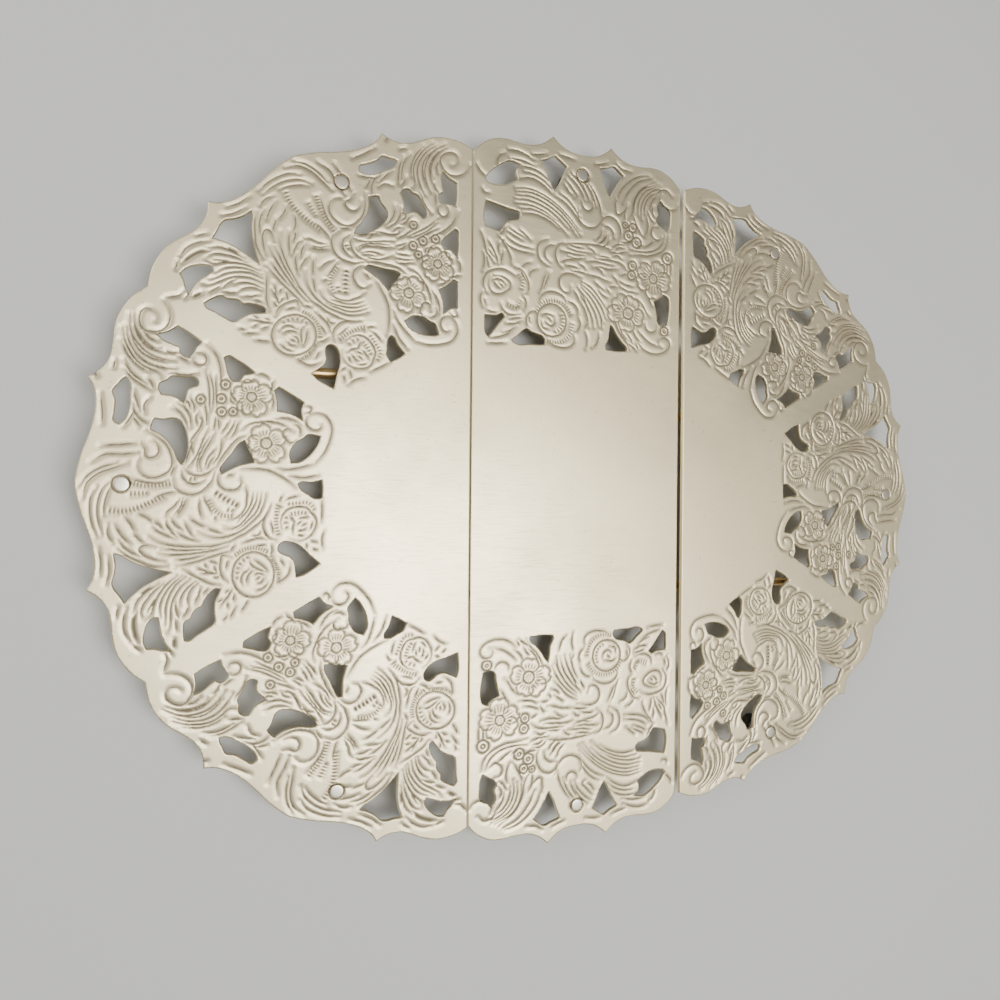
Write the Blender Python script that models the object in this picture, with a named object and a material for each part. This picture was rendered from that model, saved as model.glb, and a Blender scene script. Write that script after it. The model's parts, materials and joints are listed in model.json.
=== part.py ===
"""Extending table mat: two pierced half-round end leaves that slide over a centre leaf.

Metres, +Z up, standing on Z = 0. X runs along the pull of the leaves, Y along the seams. The mat is
modelled pulled out, as it is used, with the stops on the slide rods against their guides.
"""
import math

import bmesh
import bpy
from mathutils import Matrix
from mathutils.geometry import tessellate_polygon

MM = 0.001

# Leaves
LEAF_RADIUS = 100.1 * MM        # end leaf: mid-point of its seam edge to either corner
CENTRE_WIDTH = 73.4 * MM        # centre leaf, seam to seam
CENTRE_OVERHANG = 0.3 * MM      # the centre leaf's corners stand this far past the end leaves'
LEAF_THICKNESS = 1.2 * MM
SEAM_GAP = 0.7 * MM             # seen from above, between the centre leaf and a pulled-out end leaf
SLIDE_GAP = 0.3 * MM            # between the centre leaf's top and an end leaf's underside
CLEAR_HEIGHT = 9.0 * MM         # table to the underside of the centre leaf

# Slide rods: each end leaf has a long and a short one that run in guides under the centre leaf
ROD_DIAMETER = 3.0 * MM
LONG_ROD_Y = 31.9 * MM          # from the mat's long middle line
ROD_CLEARANCE = 1.5 * MM        # between a long rod's stop and the guide of the short rod beside it
ROD_OVERHANG = 0.4 * MM         # bare rod end outside its anchor
ROD_PAST_STOP = 0.8 * MM        # bare rod end past its stop collar
FIT_GAP = 0.3 * MM              # between pieces that seat on or run in each other

# Guides and anchors are blocks with a bore and a round lower side; stops are collars
EYE_WALL = 0.7 * MM
EYE_CROWN = 1.0 * MM            # metal between a guide's bore and its top
GUIDE_LENGTH = 6.0 * MM
GUIDE_EDGE_INSET = 4.4 * MM     # outer guide to the centre leaf's edge
INNER_GUIDE_X = 9.0 * MM        # middle of the inner guide
ANCHOR_LENGTH = 6.0 * MM
ANCHOR_CLEARANCE = 1.6 * MM     # short rod's anchor to centre leaf when the mat is pushed shut
STOP_WALL = 0.7 * MM
STOP_LENGTH = 3.0 * MM
STOP_CHAMFER = 0.35 * MM
ROD_CHAMFER = 0.6 * MM

# Feet
STUD_DIAMETER = 3.8 * MM        # riveted shank, flush in the leaf
STUD_RECESS = 0.05 * MM         # top of the shank below the leaf's top face
STUD_HOLE_GAP = 0.25 * MM       # radial
FOOT_DIAMETER = 6.4 * MM
FOOT_TIP_DIAMETER = 5.2 * MM
PAD_WALL = 1.0 * MM
PAD_ROUNDING = 0.35 * MM
PAD_FLOOR = 1.2 * MM
PAD_HEIGHT = 3.2 * MM
END_FOOT_INSET = 7.7 * MM       # end leaf: foot axes inside the radius of its corners
SIDE_FOOT_ANGLE = 65.5          # degrees, from the leaf's middle line to each side foot
CENTRE_FOOT_INSET = 1.1 * MM    # centre leaf: foot axis inside the line between its corners

# Turned part of a foot, from its top down: share of its height, share of its largest radius
FOOT_TURNING = [(0.22, 1.0), (0.34, 1.0), (0.42, 0.86), (0.58, 0.94)]

ROUND_STEPS = 16
SMOOTH_ANGLE = 32               # degrees; faces that meet at less are shaded as one surface

# The pierced pattern is drawn in millimetres at the size that DRAWN_ gives, and scaled to the leaves.
DRAWN_RADIUS = 100.1
DRAWN_HALF_WIDTH = 36.4
DRAWN_HALF_LENGTH = 99.8
SECTORS = 3                     # one drawing, turned about the seam's mid-point
SECTOR_ANGLE = 180.0 / SECTORS

# One half of a sector's scalloped rim, from its middle line (y = 0) to the notch where it ends.
SECTOR_RIM = [
    (102.7, 0.0), (102.2, 3.5), (101.2, 7.5), (100.0, 11.0), (98.9, 14.8), (98.3, 18.5),
    (98.3, 21.8), (98.9, 24.2), (100.0, 26.3), (98.0, 27.6), (96.2, 29.5), (95.0, 32.0),
    (94.5, 35.0), (94.2, 38.5), (93.4, 41.8), (92.0, 44.6), (90.0, 47.3), (88.3, 48.8),
    (86.7, 50.05),
]

# The holes of one sector; +X points from the seam's mid-point along the sector's middle line.
SECTOR_HOLES = {
    "stalk": [
        (49.7, 24.4), (48.4, 24.1), (46.5, 23.0), (44.6, 21.9), (43.5, 21.1), (44.6, 20.1),
        (46.3, 18.6), (47.9, 16.9), (49.5, 15.7), (51.5, 15.0), (53.4, 15.1), (54.4, 16.1),
        (54.3, 17.3), (53.1, 18.2), (51.4, 18.9), (50.3, 20.2), (49.9, 22.2),
    ],
    "leaf_gap": [
        (76.5, 40.1), (77.5, 39.9), (77.7, 37.6), (77.4, 35.2), (76.2, 34.4), (75.5, 33.0),
        (74.6, 31.9), (73.6, 31.5), (72.8, 29.8), (71.4, 27.9), (70.0, 26.9), (69.0, 27.2),
        (69.5, 28.6), (70.3, 30.5), (70.4, 33.5), (70.3, 35.7), (72.2, 37.3), (74.6, 38.8),
    ],
    "plume_gap": [
        (81.0, 42.3), (82.6, 42.2), (84.5, 41.6), (86.4, 41.5), (87.0, 39.8), (86.8, 37.3),
        (86.0, 35.0), (84.9, 33.8), (83.8, 33.9), (83.5, 35.6), (83.2, 37.6), (82.4, 39.8),
    ],
    "rim_triangle": [
        (91.4, 29.8), (92.4, 28.0), (93.8, 26.0), (94.2, 24.8), (93.7, 22.5), (93.5, 20.0),
        (93.9, 17.4), (92.6, 17.8), (90.5, 19.2), (87.5, 20.6), (84.0, 21.7), (80.9, 22.4),
        (84.2, 24.0), (87.5, 26.0), (89.8, 28.0),
    ],
    "inner_thorn": [
        (43.0, 3.0), (44.8, 3.2), (46.8, 2.0), (48.6, 0.8), (49.4, -0.6), (48.6, -1.2),
        (46.5, -1.1), (44.5, -1.4), (43.1, -1.8), (42.9, 0.5),
    ],
    "kidney": [
        (51.2, -6.4), (49.2, -6.6), (47.0, -8.0), (45.2, -10.0), (43.9, -12.4), (43.6, -13.7),
        (45.0, -14.0), (46.8, -14.1), (48.2, -13.0), (50.0, -11.9), (50.9, -10.6), (51.6, -9.0),
        (51.4, -7.5),
    ],
    "shell_triangle": [
        (68.8, -3.1), (69.2, -4.2), (68.0, -6.2), (66.2, -8.6), (64.8, -10.8), (63.3, -11.9),
        (62.6, -10.6), (61.8, -8.4), (60.8, -6.3), (62.5, -5.9), (65.0, -5.2), (67.2, -4.0),
    ],
    "crescent": [
        (78.5, -5.3), (79.5, -6.6), (80.4, -9.0), (81.8, -11.2), (83.8, -13.0), (85.7, -13.9),
        (85.5, -15.4), (84.9, -16.7), (83.0, -16.5), (81.0, -16.9), (79.2, -16.6), (78.0, -14.8),
        (77.2, -11.8), (77.2, -8.5), (77.7, -6.4),
    ],
    "shield": [
        (48.4, -18.0), (50.6, -19.2), (52.8, -19.9), (54.9, -20.2), (54.9, -22.0), (55.3, -24.2),
        (55.7, -25.6), (54.6, -26.5), (53.0, -25.6), (50.5, -24.2), (48.0, -22.7), (48.7, -20.8),
    ],
    "bud_gap": [
        (64.8, -27.5), (66.5, -27.6), (67.3, -29.0), (67.9, -31.5), (68.4, -33.4), (67.4, -33.9),
        (65.5, -33.0), (63.0, -31.6), (60.8, -29.9), (62.2, -29.5), (63.6, -29.0), (64.2, -28.0),
    ],
    "boot": [
        (78.1, -21.0), (79.5, -22.2), (81.5, -22.9), (83.3, -23.0), (84.0, -24.4), (83.6, -25.8),
        (82.2, -26.5), (81.0, -27.6), (78.5, -27.6), (75.6, -27.7), (74.7, -26.9), (74.7, -25.7),
        (75.7, -25.2), (77.1, -24.5), (77.6, -22.8),
    ],
    "bird": [
        (76.8, -32.8), (78.2, -33.1), (79.0, -34.0), (79.0, -35.2), (80.8, -35.9), (83.0, -36.8),
        (84.4, -38.1), (82.2, -38.8), (80.9, -39.6), (79.8, -40.5), (78.0, -39.6), (75.5, -38.0),
        (73.9, -36.8), (75.0, -35.7), (75.8, -34.2),
    ],
    "rim_slit": [
        (93.0, -15.0), (94.1, -15.8), (94.0, -18.0), (93.8, -21.0), (94.3, -23.4), (93.4, -24.6),
        (92.4, -26.0), (91.5, -26.7), (90.7, -25.4), (90.5, -22.0), (90.8, -18.6), (91.6, -16.2),
    ],
}

# One half of the centre leaf's end rim, from its middle line (x = 0) to its corner.
CENTRE_RIM = [
    (0.0, 105.0), (3.2, 105.2), (6.0, 106.0), (8.3, 107.4), (10.15, 109.05), (12.2, 107.4),
    (14.5, 106.0), (17.5, 105.1), (21.5, 105.05), (25.5, 105.4), (28.8, 105.1), (31.8, 103.9),
    (34.3, 102.1), (36.4, 99.8),
]

# The holes of the centre leaf's rear panel; the front panel is the same, turned half round.
CENTRE_HOLES = {
    "eye": [
        (-20.9, 98.5), (-22.5, 98.9), (-24.5, 99.1), (-26.5, 98.2), (-28.8, 96.6), (-31.0, 94.6),
        (-32.4, 92.6), (-31.9, 91.7), (-29.5, 91.2), (-26.5, 91.4), (-24.0, 92.6), (-21.9, 93.8),
        (-22.4, 94.8), (-22.4, 96.8),
    ],
    "left_kite": [
        (-9.6, 103.2), (-7.5, 101.8), (-5.4, 100.4), (-6.8, 97.4), (-8.3, 94.2), (-9.6, 92.4),
        (-10.6, 94.0), (-12.4, 97.6), (-14.3, 100.9), (-12.0, 101.8),
    ],
    "axe": [
        (-32.2, 86.0), (-29.0, 85.4), (-26.0, 84.8), (-21.6, 84.3), (-21.1, 83.2), (-21.5, 82.1),
        (-24.0, 81.2), (-25.8, 80.2), (-26.8, 78.6), (-27.8, 77.4), (-30.2, 77.8), (-32.2, 78.4),
        (-32.8, 81.0), (-32.6, 84.0),
    ],
    "right_kite": [
        (11.6, 103.3), (13.2, 102.2), (15.0, 100.9), (13.4, 99.0), (11.4, 95.8), (9.9, 93.2),
        (8.4, 96.0), (7.2, 99.2), (6.1, 101.9), (8.8, 102.6),
    ],
    "notched": [
        (29.0, 95.2), (29.9, 94.0), (31.6, 93.2), (32.6, 92.2), (32.7, 89.5), (32.4, 86.6),
        (31.8, 85.2), (30.2, 86.2), (28.0, 87.5), (27.3, 88.7), (28.1, 90.6), (27.6, 92.4),
        (28.0, 94.2),
    ],
    "wedge": [
        (-32.3, 51.9), (-30.0, 52.0), (-28.5, 52.2), (-26.9, 53.0), (-25.9, 52.0), (-27.5, 50.2),
        (-29.3, 47.8), (-31.0, 45.6), (-32.0, 46.4), (-32.3, 49.0),
    ],
    "cap": [
        (-18.6, 49.1), (-17.0, 48.2), (-15.0, 47.7), (-13.4, 47.2), (-12.4, 45.6), (-12.8, 44.6),
        (-17.0, 44.4), (-22.8, 44.5), (-23.5, 45.3), (-21.5, 46.8), (-19.8, 48.4),
    ],
    "tent": [
        (10.5, 53.0), (11.6, 51.8), (13.0, 49.6), (14.8, 47.6), (16.6, 46.0), (16.6, 44.9),
        (12.5, 44.7), (9.0, 44.9), (8.8, 46.0), (9.8, 48.2), (10.1, 50.6),
    ],
    "vase": [
        (30.3, 64.6), (32.0, 63.8), (32.6, 61.5), (32.3, 57.5), (31.8, 54.8), (29.8, 54.4),
        (28.4, 54.9), (27.8, 57.5), (27.1, 60.5), (26.7, 62.0), (28.2, 62.8), (29.5, 63.8),
    ],
}

# Worked out from the driving dimensions
CENTRE_HALF_WIDTH = CENTRE_WIDTH / 2
SEAM_X = CENTRE_HALF_WIDTH + SEAM_GAP
CENTRE_BOTTOM = CLEAR_HEIGHT
CENTRE_TOP = CENTRE_BOTTOM + LEAF_THICKNESS
END_BOTTOM = CENTRE_TOP + SLIDE_GAP
END_TOP = END_BOTTOM + LEAF_THICKNESS
CLOSING_TRAVEL = SEAM_X         # at the very most: seam edge to seam edge
BORE_RADIUS = ROD_DIAMETER / 2 + FIT_GAP
EYE_RADIUS = BORE_RADIUS + EYE_WALL
STOP_RADIUS = BORE_RADIUS + STOP_WALL
ROD_Z = CENTRE_BOTTOM - FIT_GAP - EYE_CROWN - BORE_RADIUS
SHORT_ROD_Y = LONG_ROD_Y - EYE_RADIUS - STOP_RADIUS - ROD_CLEARANCE
OUTER_GUIDE_X = CENTRE_HALF_WIDTH - GUIDE_EDGE_INSET - GUIDE_LENGTH / 2
STOP_OUTER_X = INNER_GUIDE_X - GUIDE_LENGTH / 2 - FIT_GAP
ROD_INNER_X = STOP_OUTER_X - STOP_LENGTH - ROD_PAST_STOP
LONG_ANCHOR_X = SEAM_X + LONG_ROD_Y / math.tan(math.radians(SECTOR_ANGLE / 2))
SHORT_ANCHOR_X = CENTRE_HALF_WIDTH + CLOSING_TRAVEL + ANCHOR_CLEARANCE + ANCHOR_LENGTH / 2
CORNER_Y = LEAF_RADIUS + CENTRE_OVERHANG
FOOT_CIRCLE = LEAF_RADIUS - END_FOOT_INSET
FOOT_BODY_TOP = CENTRE_BOTTOM - 2 * FIT_GAP
FOOT_BOTTOM = PAD_FLOOR + FIT_GAP


def clear_scene():
    for old in list(bpy.data.objects):
        bpy.data.objects.remove(old, do_unlink=True)


def make_material(name, colour, roughness, metallic):
    material = bpy.data.materials.new(name)
    material.use_nodes = True
    shader = material.node_tree.nodes["Principled BSDF"]
    shader.inputs["Base Color"].default_value = (*colour, 1.0)
    shader.inputs["Roughness"].default_value = roughness
    shader.inputs["Metallic"].default_value = metallic
    return material


def add_object(name, bm, material, smooth=False, location=(0, 0, 0), parent=None):
    """Turn a bmesh into a named object with outward faces; the parent stands at the joint."""
    bmesh.ops.recalc_face_normals(bm, faces=bm.faces)
    mesh = bpy.data.meshes.new(name)
    bm.to_mesh(mesh)
    bm.free()
    mesh.materials.append(material)
    if smooth:
        mesh.shade_smooth()
        mesh.set_sharp_from_angle(angle=math.radians(SMOOTH_ANGLE))
    piece = bpy.data.objects.new(name, mesh)
    bpy.context.collection.objects.link(piece)
    piece.location = location
    if parent is not None:
        piece.parent = parent
        piece.matrix_parent_inverse = Matrix.Translation(parent.location).inverted()
    return piece


def extruded(loops, low, high, place):
    """A plate from an outline and its holes; place(u, v, w) turns drawing into object space."""
    bm = bmesh.new()
    flat = [[(u, v, 0.0) for u, v in loop] for loop in loops]
    triangles = tessellate_polygon(flat)
    floors = []
    roofs = []
    for loop in loops:
        floors.append([bm.verts.new(place(u, v, low)) for u, v in loop])
        roofs.append([bm.verts.new(place(u, v, high)) for u, v in loop])
    for layer in (floors, roofs):
        corners = [vertex for ring in layer for vertex in ring]
        for triangle in triangles:
            bm.faces.new([corners[index] for index in triangle])
    for floor, roof in zip(floors, roofs):
        for index in range(len(floor)):
            after = (index + 1) % len(floor)
            bm.faces.new((floor[index], floor[after], roof[after], roof[index]))
    return bm


def upright(x, y, z):
    return (x, y, z)


def along_rod(y, z, x):
    return (x, y, z)


def turned(profile, ring=False):
    """A body turned about Z from (radius, height) points; a ring's profile closes on itself."""
    bm = bmesh.new()
    rows = []
    for radius, height in profile:
        if radius == 0.0:
            rows.append([bm.verts.new((0.0, 0.0, height))] * ROUND_STEPS)
            continue
        row = []
        for step in range(ROUND_STEPS):
            angle = 2 * math.pi * step / ROUND_STEPS
            row.append(bm.verts.new((radius * math.cos(angle), radius * math.sin(angle), height)))
        rows.append(row)
    pairs = list(zip(rows, rows[1:]))
    if ring:
        pairs.append((rows[-1], rows[0]))
    for upper, lower in pairs:
        for step in range(ROUND_STEPS):
            after = (step + 1) % ROUND_STEPS
            corners = [upper[step], upper[after], lower[after], lower[step]]
            bm.faces.new(list(dict.fromkeys(corners)))
    return bm


def lay_along_x(bm):
    """Turn a Z-turned body so that its axis lies along +X."""
    bmesh.ops.rotate(bm, verts=bm.verts, matrix=Matrix.Rotation(math.pi / 2, 3, "Y"))
    return bm


def circle(radius, centre=(0.0, 0.0)):
    points = []
    for step in range(ROUND_STEPS):
        angle = 2 * math.pi * step / ROUND_STEPS
        points.append((centre[0] + radius * math.cos(angle), centre[1] + radius * math.sin(angle)))
    return points


def turn(point, degrees):
    angle = math.radians(degrees)
    x, y = point
    return (x * math.cos(angle) - y * math.sin(angle), x * math.sin(angle) + y * math.cos(angle))


def end_foot_points():
    """The three feet of the left end leaf, in the mat's frame."""
    points = []
    for degrees in (180.0 - SIDE_FOOT_ANGLE, 180.0, 180.0 + SIDE_FOOT_ANGLE):
        x, y = turn((FOOT_CIRCLE, 0.0), degrees)
        points.append((x - SEAM_X, y))
    return points


def left_leaf_loops():
    """Outline and holes of the left end leaf, seam edge at -SEAM_X, in the mat's frame."""
    scale = LEAF_RADIUS / DRAWN_RADIUS
    mirrored = [(x, -y) for x, y in SECTOR_RIM[:0:-1]]
    sector_rim = mirrored + SECTOR_RIM
    rim = []
    holes = []
    for sector in range(SECTORS):
        degrees = 90.0 + SECTOR_ANGLE * (sector + 0.5)
        placed = [turn((x * scale, y * scale), degrees) for x, y in sector_rim]
        rim.extend(placed if sector == 0 else placed[1:])
        for hole in SECTOR_HOLES.values():
            holes.append([turn((x * scale, y * scale), degrees) for x, y in hole])
    rim[0] = (0.0, LEAF_RADIUS)
    rim[-1] = (0.0, -LEAF_RADIUS)
    loops = [[(x - SEAM_X, y) for x, y in loop] for loop in [rim] + holes]
    hole_radius = STUD_DIAMETER / 2 + STUD_HOLE_GAP
    return loops + [circle(hole_radius, point) for point in end_foot_points()]


def centre_foot_points():
    reach = CORNER_Y - CENTRE_FOOT_INSET
    return [(0.0, reach), (0.0, -reach)]


def centre_leaf_loops():
    """Outline and holes of the centre leaf, in the mat's frame."""
    scale_x = CENTRE_HALF_WIDTH / DRAWN_HALF_WIDTH
    scale_y = CORNER_Y / DRAWN_HALF_LENGTH
    right_half = [(x * scale_x, y * scale_y) for x, y in CENTRE_RIM]
    left_half = [(-x, y) for x, y in right_half[:0:-1]]
    rear_rim = left_half + right_half
    outline = rear_rim + [(-x, -y) for x, y in rear_rim]
    rear = [[(x * scale_x, y * scale_y) for x, y in hole] for hole in CENTRE_HOLES.values()]
    front = [[(-x, -y) for x, y in hole] for hole in rear]
    hole_radius = STUD_DIAMETER / 2 + STUD_HOLE_GAP
    feet = [circle(hole_radius, point) for point in centre_foot_points()]
    return [outline] + rear + front + feet


def half_turned(loops):
    return [[(-x, -y) for x, y in loop] for loop in loops]


def eyed_block(top):
    """Section of a guide or anchor across its rod: flat on top, round below, bored for the rod."""
    arc = []
    for step in range(ROUND_STEPS):
        angle = math.pi + math.pi * step / (ROUND_STEPS - 1)
        arc.append((EYE_RADIUS * math.cos(angle), EYE_RADIUS * math.sin(angle)))
    return [[(EYE_RADIUS, top), (-EYE_RADIUS, top)] + arc, circle(BORE_RADIUS)]


def stud_profile(top):
    """Riveted shank, a cove below the leaf and a turned foot that tapers into its pad."""
    shank = STUD_DIAMETER / 2
    body = FOOT_DIAMETER / 2
    tip = FOOT_TIP_DIAMETER / 2
    height = FOOT_BODY_TOP - FOOT_BOTTOM
    turning = [(wide * body, FOOT_BODY_TOP - down * height) for down, wide in FOOT_TURNING]
    return (
        [(0.0, top), (shank, top), (shank, FOOT_BODY_TOP)]
        + turning
        + [(tip, PAD_HEIGHT), (tip, FOOT_BOTTOM), (0.0, FOOT_BOTTOM)]
    )


def pad_profile():
    """A soft cup round the tip of a foot, its floor on the table."""
    inner = FOOT_TIP_DIAMETER / 2 + FIT_GAP
    outer = inner + PAD_WALL
    return [
        (0.0, PAD_FLOOR),
        (inner, PAD_FLOOR),
        (inner, PAD_HEIGHT - FIT_GAP),
        (outer - PAD_ROUNDING, PAD_HEIGHT - FIT_GAP),
        (outer, PAD_HEIGHT - FIT_GAP - PAD_ROUNDING),
        (outer, PAD_ROUNDING),
        (outer - PAD_ROUNDING, 0.0),
        (0.0, 0.0),
    ]


def stop_profile():
    return [
        (BORE_RADIUS, 0.0),
        (STOP_RADIUS - STOP_CHAMFER, 0.0),
        (STOP_RADIUS, STOP_CHAMFER),
        (STOP_RADIUS, STOP_LENGTH - STOP_CHAMFER),
        (STOP_RADIUS - STOP_CHAMFER, STOP_LENGTH),
        (BORE_RADIUS, STOP_LENGTH),
    ]


def rod_profile(length):
    radius = ROD_DIAMETER / 2
    return [
        (0.0, 0.0),
        (radius - ROD_CHAMFER, 0.0),
        (radius, ROD_CHAMFER),
        (radius, length - ROD_CHAMFER),
        (radius - ROD_CHAMFER, length),
        (0.0, length),
    ]


def add_slide(name, side):
    """The empty that an end leaf slides with, on the seam edge at the height of the rods."""
    slide = bpy.data.objects.new(name, None)
    slide.location = (side * SEAM_X, 0.0, ROD_Z)
    bpy.context.collection.objects.link(slide)
    return slide


def build_leaves(silver, slides):
    left = left_leaf_loops()
    add_object("centre_leaf", extruded(centre_leaf_loops(), CENTRE_BOTTOM, CENTRE_TOP, upright), silver)
    add_object("left_leaf", extruded(left, END_BOTTOM, END_TOP, upright), silver,
               parent=slides["left"])
    add_object("right_leaf", extruded(half_turned(left), END_BOTTOM, END_TOP, upright), silver,
               parent=slides["right"])


def add_along_x(name, bm, side, inner_x, length, y, material, parent=None):
    """Place a body that starts at its origin and runs along +X, inner end towards the middle."""
    start = inner_x if side > 0 else -inner_x - length
    add_object(name, bm, material, smooth=True, location=(start, y, ROD_Z), parent=parent)


def build_rod(leaf_name, side, kind, y, anchor_x, brass, slides):
    """One slide rod with its anchor and stop, which move with the leaf, and its two guides."""
    slide = slides[leaf_name]
    name = f"{leaf_name}_{kind}_rod"
    anchor_inner = anchor_x - ANCHOR_LENGTH / 2
    length = anchor_inner + ANCHOR_LENGTH + ROD_OVERHANG - ROD_INNER_X
    add_along_x(name, lay_along_x(turned(rod_profile(length))), side, ROD_INNER_X, length, y, brass,
                slide)
    anchor = extruded(eyed_block(END_BOTTOM - FIT_GAP - ROD_Z), 0.0, ANCHOR_LENGTH, along_rod)
    add_along_x(f"{name}_anchor", anchor, side, anchor_inner, ANCHOR_LENGTH, y, brass, slide)
    stop = lay_along_x(turned(stop_profile(), ring=True))
    add_along_x(f"{name}_stop", stop, side, STOP_OUTER_X - STOP_LENGTH, STOP_LENGTH, y, brass, slide)
    for place, middle in (("outer", OUTER_GUIDE_X), ("inner", INNER_GUIDE_X)):
        guide = extruded(eyed_block(CENTRE_BOTTOM - FIT_GAP - ROD_Z), 0.0, GUIDE_LENGTH, along_rod)
        add_along_x(f"{name}_guide_{place}", guide, side, middle - GUIDE_LENGTH / 2, GUIDE_LENGTH, y,
                    brass)


def build_rods(brass, slides):
    """The long rods lie half round from each other, each with the other leaf's short rod beside it."""
    for leaf_name, side in (("left", -1), ("right", 1)):
        build_rod(leaf_name, side, "long", -side * LONG_ROD_Y, LONG_ANCHOR_X, brass, slides)
        build_rod(leaf_name, side, "short", side * SHORT_ROD_Y, SHORT_ANCHOR_X, brass, slides)


def build_foot(name, point, leaf_top, silver, rubber, parent=None):
    x, y = point
    add_object(f"{name}_foot", turned(stud_profile(leaf_top - STUD_RECESS)), silver, smooth=True,
               location=(x, y, 0.0), parent=parent)
    add_object(f"{name}_foot_pad", turned(pad_profile()), rubber, smooth=True,
               location=(x, y, 0.0), parent=parent)


def build_feet(silver, rubber, slides):
    rear, front = centre_foot_points()
    build_foot("centre_leaf_rear", rear, CENTRE_TOP, silver, rubber)
    build_foot("centre_leaf_front", front, CENTRE_TOP, silver, rubber)
    for place, (x, y) in zip(("rear", "end", "front"), end_foot_points()):
        build_foot(f"left_leaf_{place}", (x, y), END_TOP, silver, rubber, slides["left"])
        build_foot(f"right_leaf_{place}", (-x, y), END_TOP, silver, rubber, slides["right"])


def main():
    clear_scene()
    silver = make_material("silver_plate", (0.80, 0.77, 0.69), 0.32, 1.0)
    brass = make_material("brass", (0.72, 0.53, 0.25), 0.35, 1.0)
    rubber = make_material("black_rubber", (0.03, 0.03, 0.03), 0.75, 0.0)
    slides = {"left": add_slide("left_slide", -1), "right": add_slide("right_slide", 1)}
    build_leaves(silver, slides)
    build_rods(brass, slides)
    build_feet(silver, rubber, slides)


main()
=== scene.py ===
"""Looks of the extending table mat: chased silver sheets, turned feet, brass slide rods."""

import json
import math

import bpy
import numpy as np
from mathutils import Matrix, Vector
from mathutils.geometry import delaunay_2d_cdt

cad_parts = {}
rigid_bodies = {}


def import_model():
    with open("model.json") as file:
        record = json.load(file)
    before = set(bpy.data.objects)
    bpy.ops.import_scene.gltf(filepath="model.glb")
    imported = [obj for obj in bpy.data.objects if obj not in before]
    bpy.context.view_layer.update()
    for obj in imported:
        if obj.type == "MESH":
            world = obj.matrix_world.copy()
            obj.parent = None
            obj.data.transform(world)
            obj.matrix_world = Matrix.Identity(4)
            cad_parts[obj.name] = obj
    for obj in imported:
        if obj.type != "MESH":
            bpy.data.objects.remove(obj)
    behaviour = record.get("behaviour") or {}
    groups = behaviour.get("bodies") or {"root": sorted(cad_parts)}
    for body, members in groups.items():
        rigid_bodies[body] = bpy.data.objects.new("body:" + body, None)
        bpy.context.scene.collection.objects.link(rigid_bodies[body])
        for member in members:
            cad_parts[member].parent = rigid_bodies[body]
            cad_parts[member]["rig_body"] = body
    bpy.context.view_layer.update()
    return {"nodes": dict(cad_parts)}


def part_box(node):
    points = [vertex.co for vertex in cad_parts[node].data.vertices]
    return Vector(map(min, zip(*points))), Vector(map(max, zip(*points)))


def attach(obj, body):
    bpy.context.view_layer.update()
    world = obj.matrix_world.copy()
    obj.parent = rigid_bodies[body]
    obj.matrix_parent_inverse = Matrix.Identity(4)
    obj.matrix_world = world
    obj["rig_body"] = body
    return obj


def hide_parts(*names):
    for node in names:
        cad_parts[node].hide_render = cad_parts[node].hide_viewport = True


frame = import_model()

MM = 0.001                  # the frame is in metres; drawings below are in millimetres
ROUND = 48                  # steps round a turned piece
TINY = 1e-9                 # keeps divisions away from zero

# Leaf meshes, mm
EDGE_STEP = 0.34            # along outlines
FACE_STEP = 0.30            # over the chased area
PLAIN_STEP = 3.0            # over the plain middle
LATTICE_SHIFT = 0.37        # share of a step, so that no lattice point falls on a straight edge
EDGE_ROUND = 0.26           # rounded upper edge, inwards and down
EDGE_BAND = 0.5             # distances to an outline are worked out up to this
LINE_POINT_CELL = 0.6       # share of a step: one mesh point of a chased line in each such square
LINE_CLEARANCE = 0.55       # share of a step kept free of other mesh points beside a chased line
CORNER_TURN = 58.0          # degrees; outline points that turn more stay sharp
SAME_POINT = 1e-5           # points nearer than this are one
SLIVER = 1e-6               # twice the area of a triangle that is left out, mm2
SECTOR_ANGLE = 60           # degrees that one drawing of an end leaf covers
PLAIN_RADIUS = 38.0         # end leaf: inside this the sheet has no work
PLAIN_HALF = 42.0           # centre leaf: the same, to either side of the middle

# Chasing
CELL = 0.08                 # raster of the worked surface, mm
REACH = 1.3                 # how far a line presses the sheet round it down, mm
SWELL = 0.11                # how far forms stand above the lines round them, mm
OVAL_POINTS = 12            # points of a whole ring or oval
ARC_POINT_EVERY = 20        # degrees between the points of a part of one


# ---------------------------------------------------------------- small geometry helpers

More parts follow.
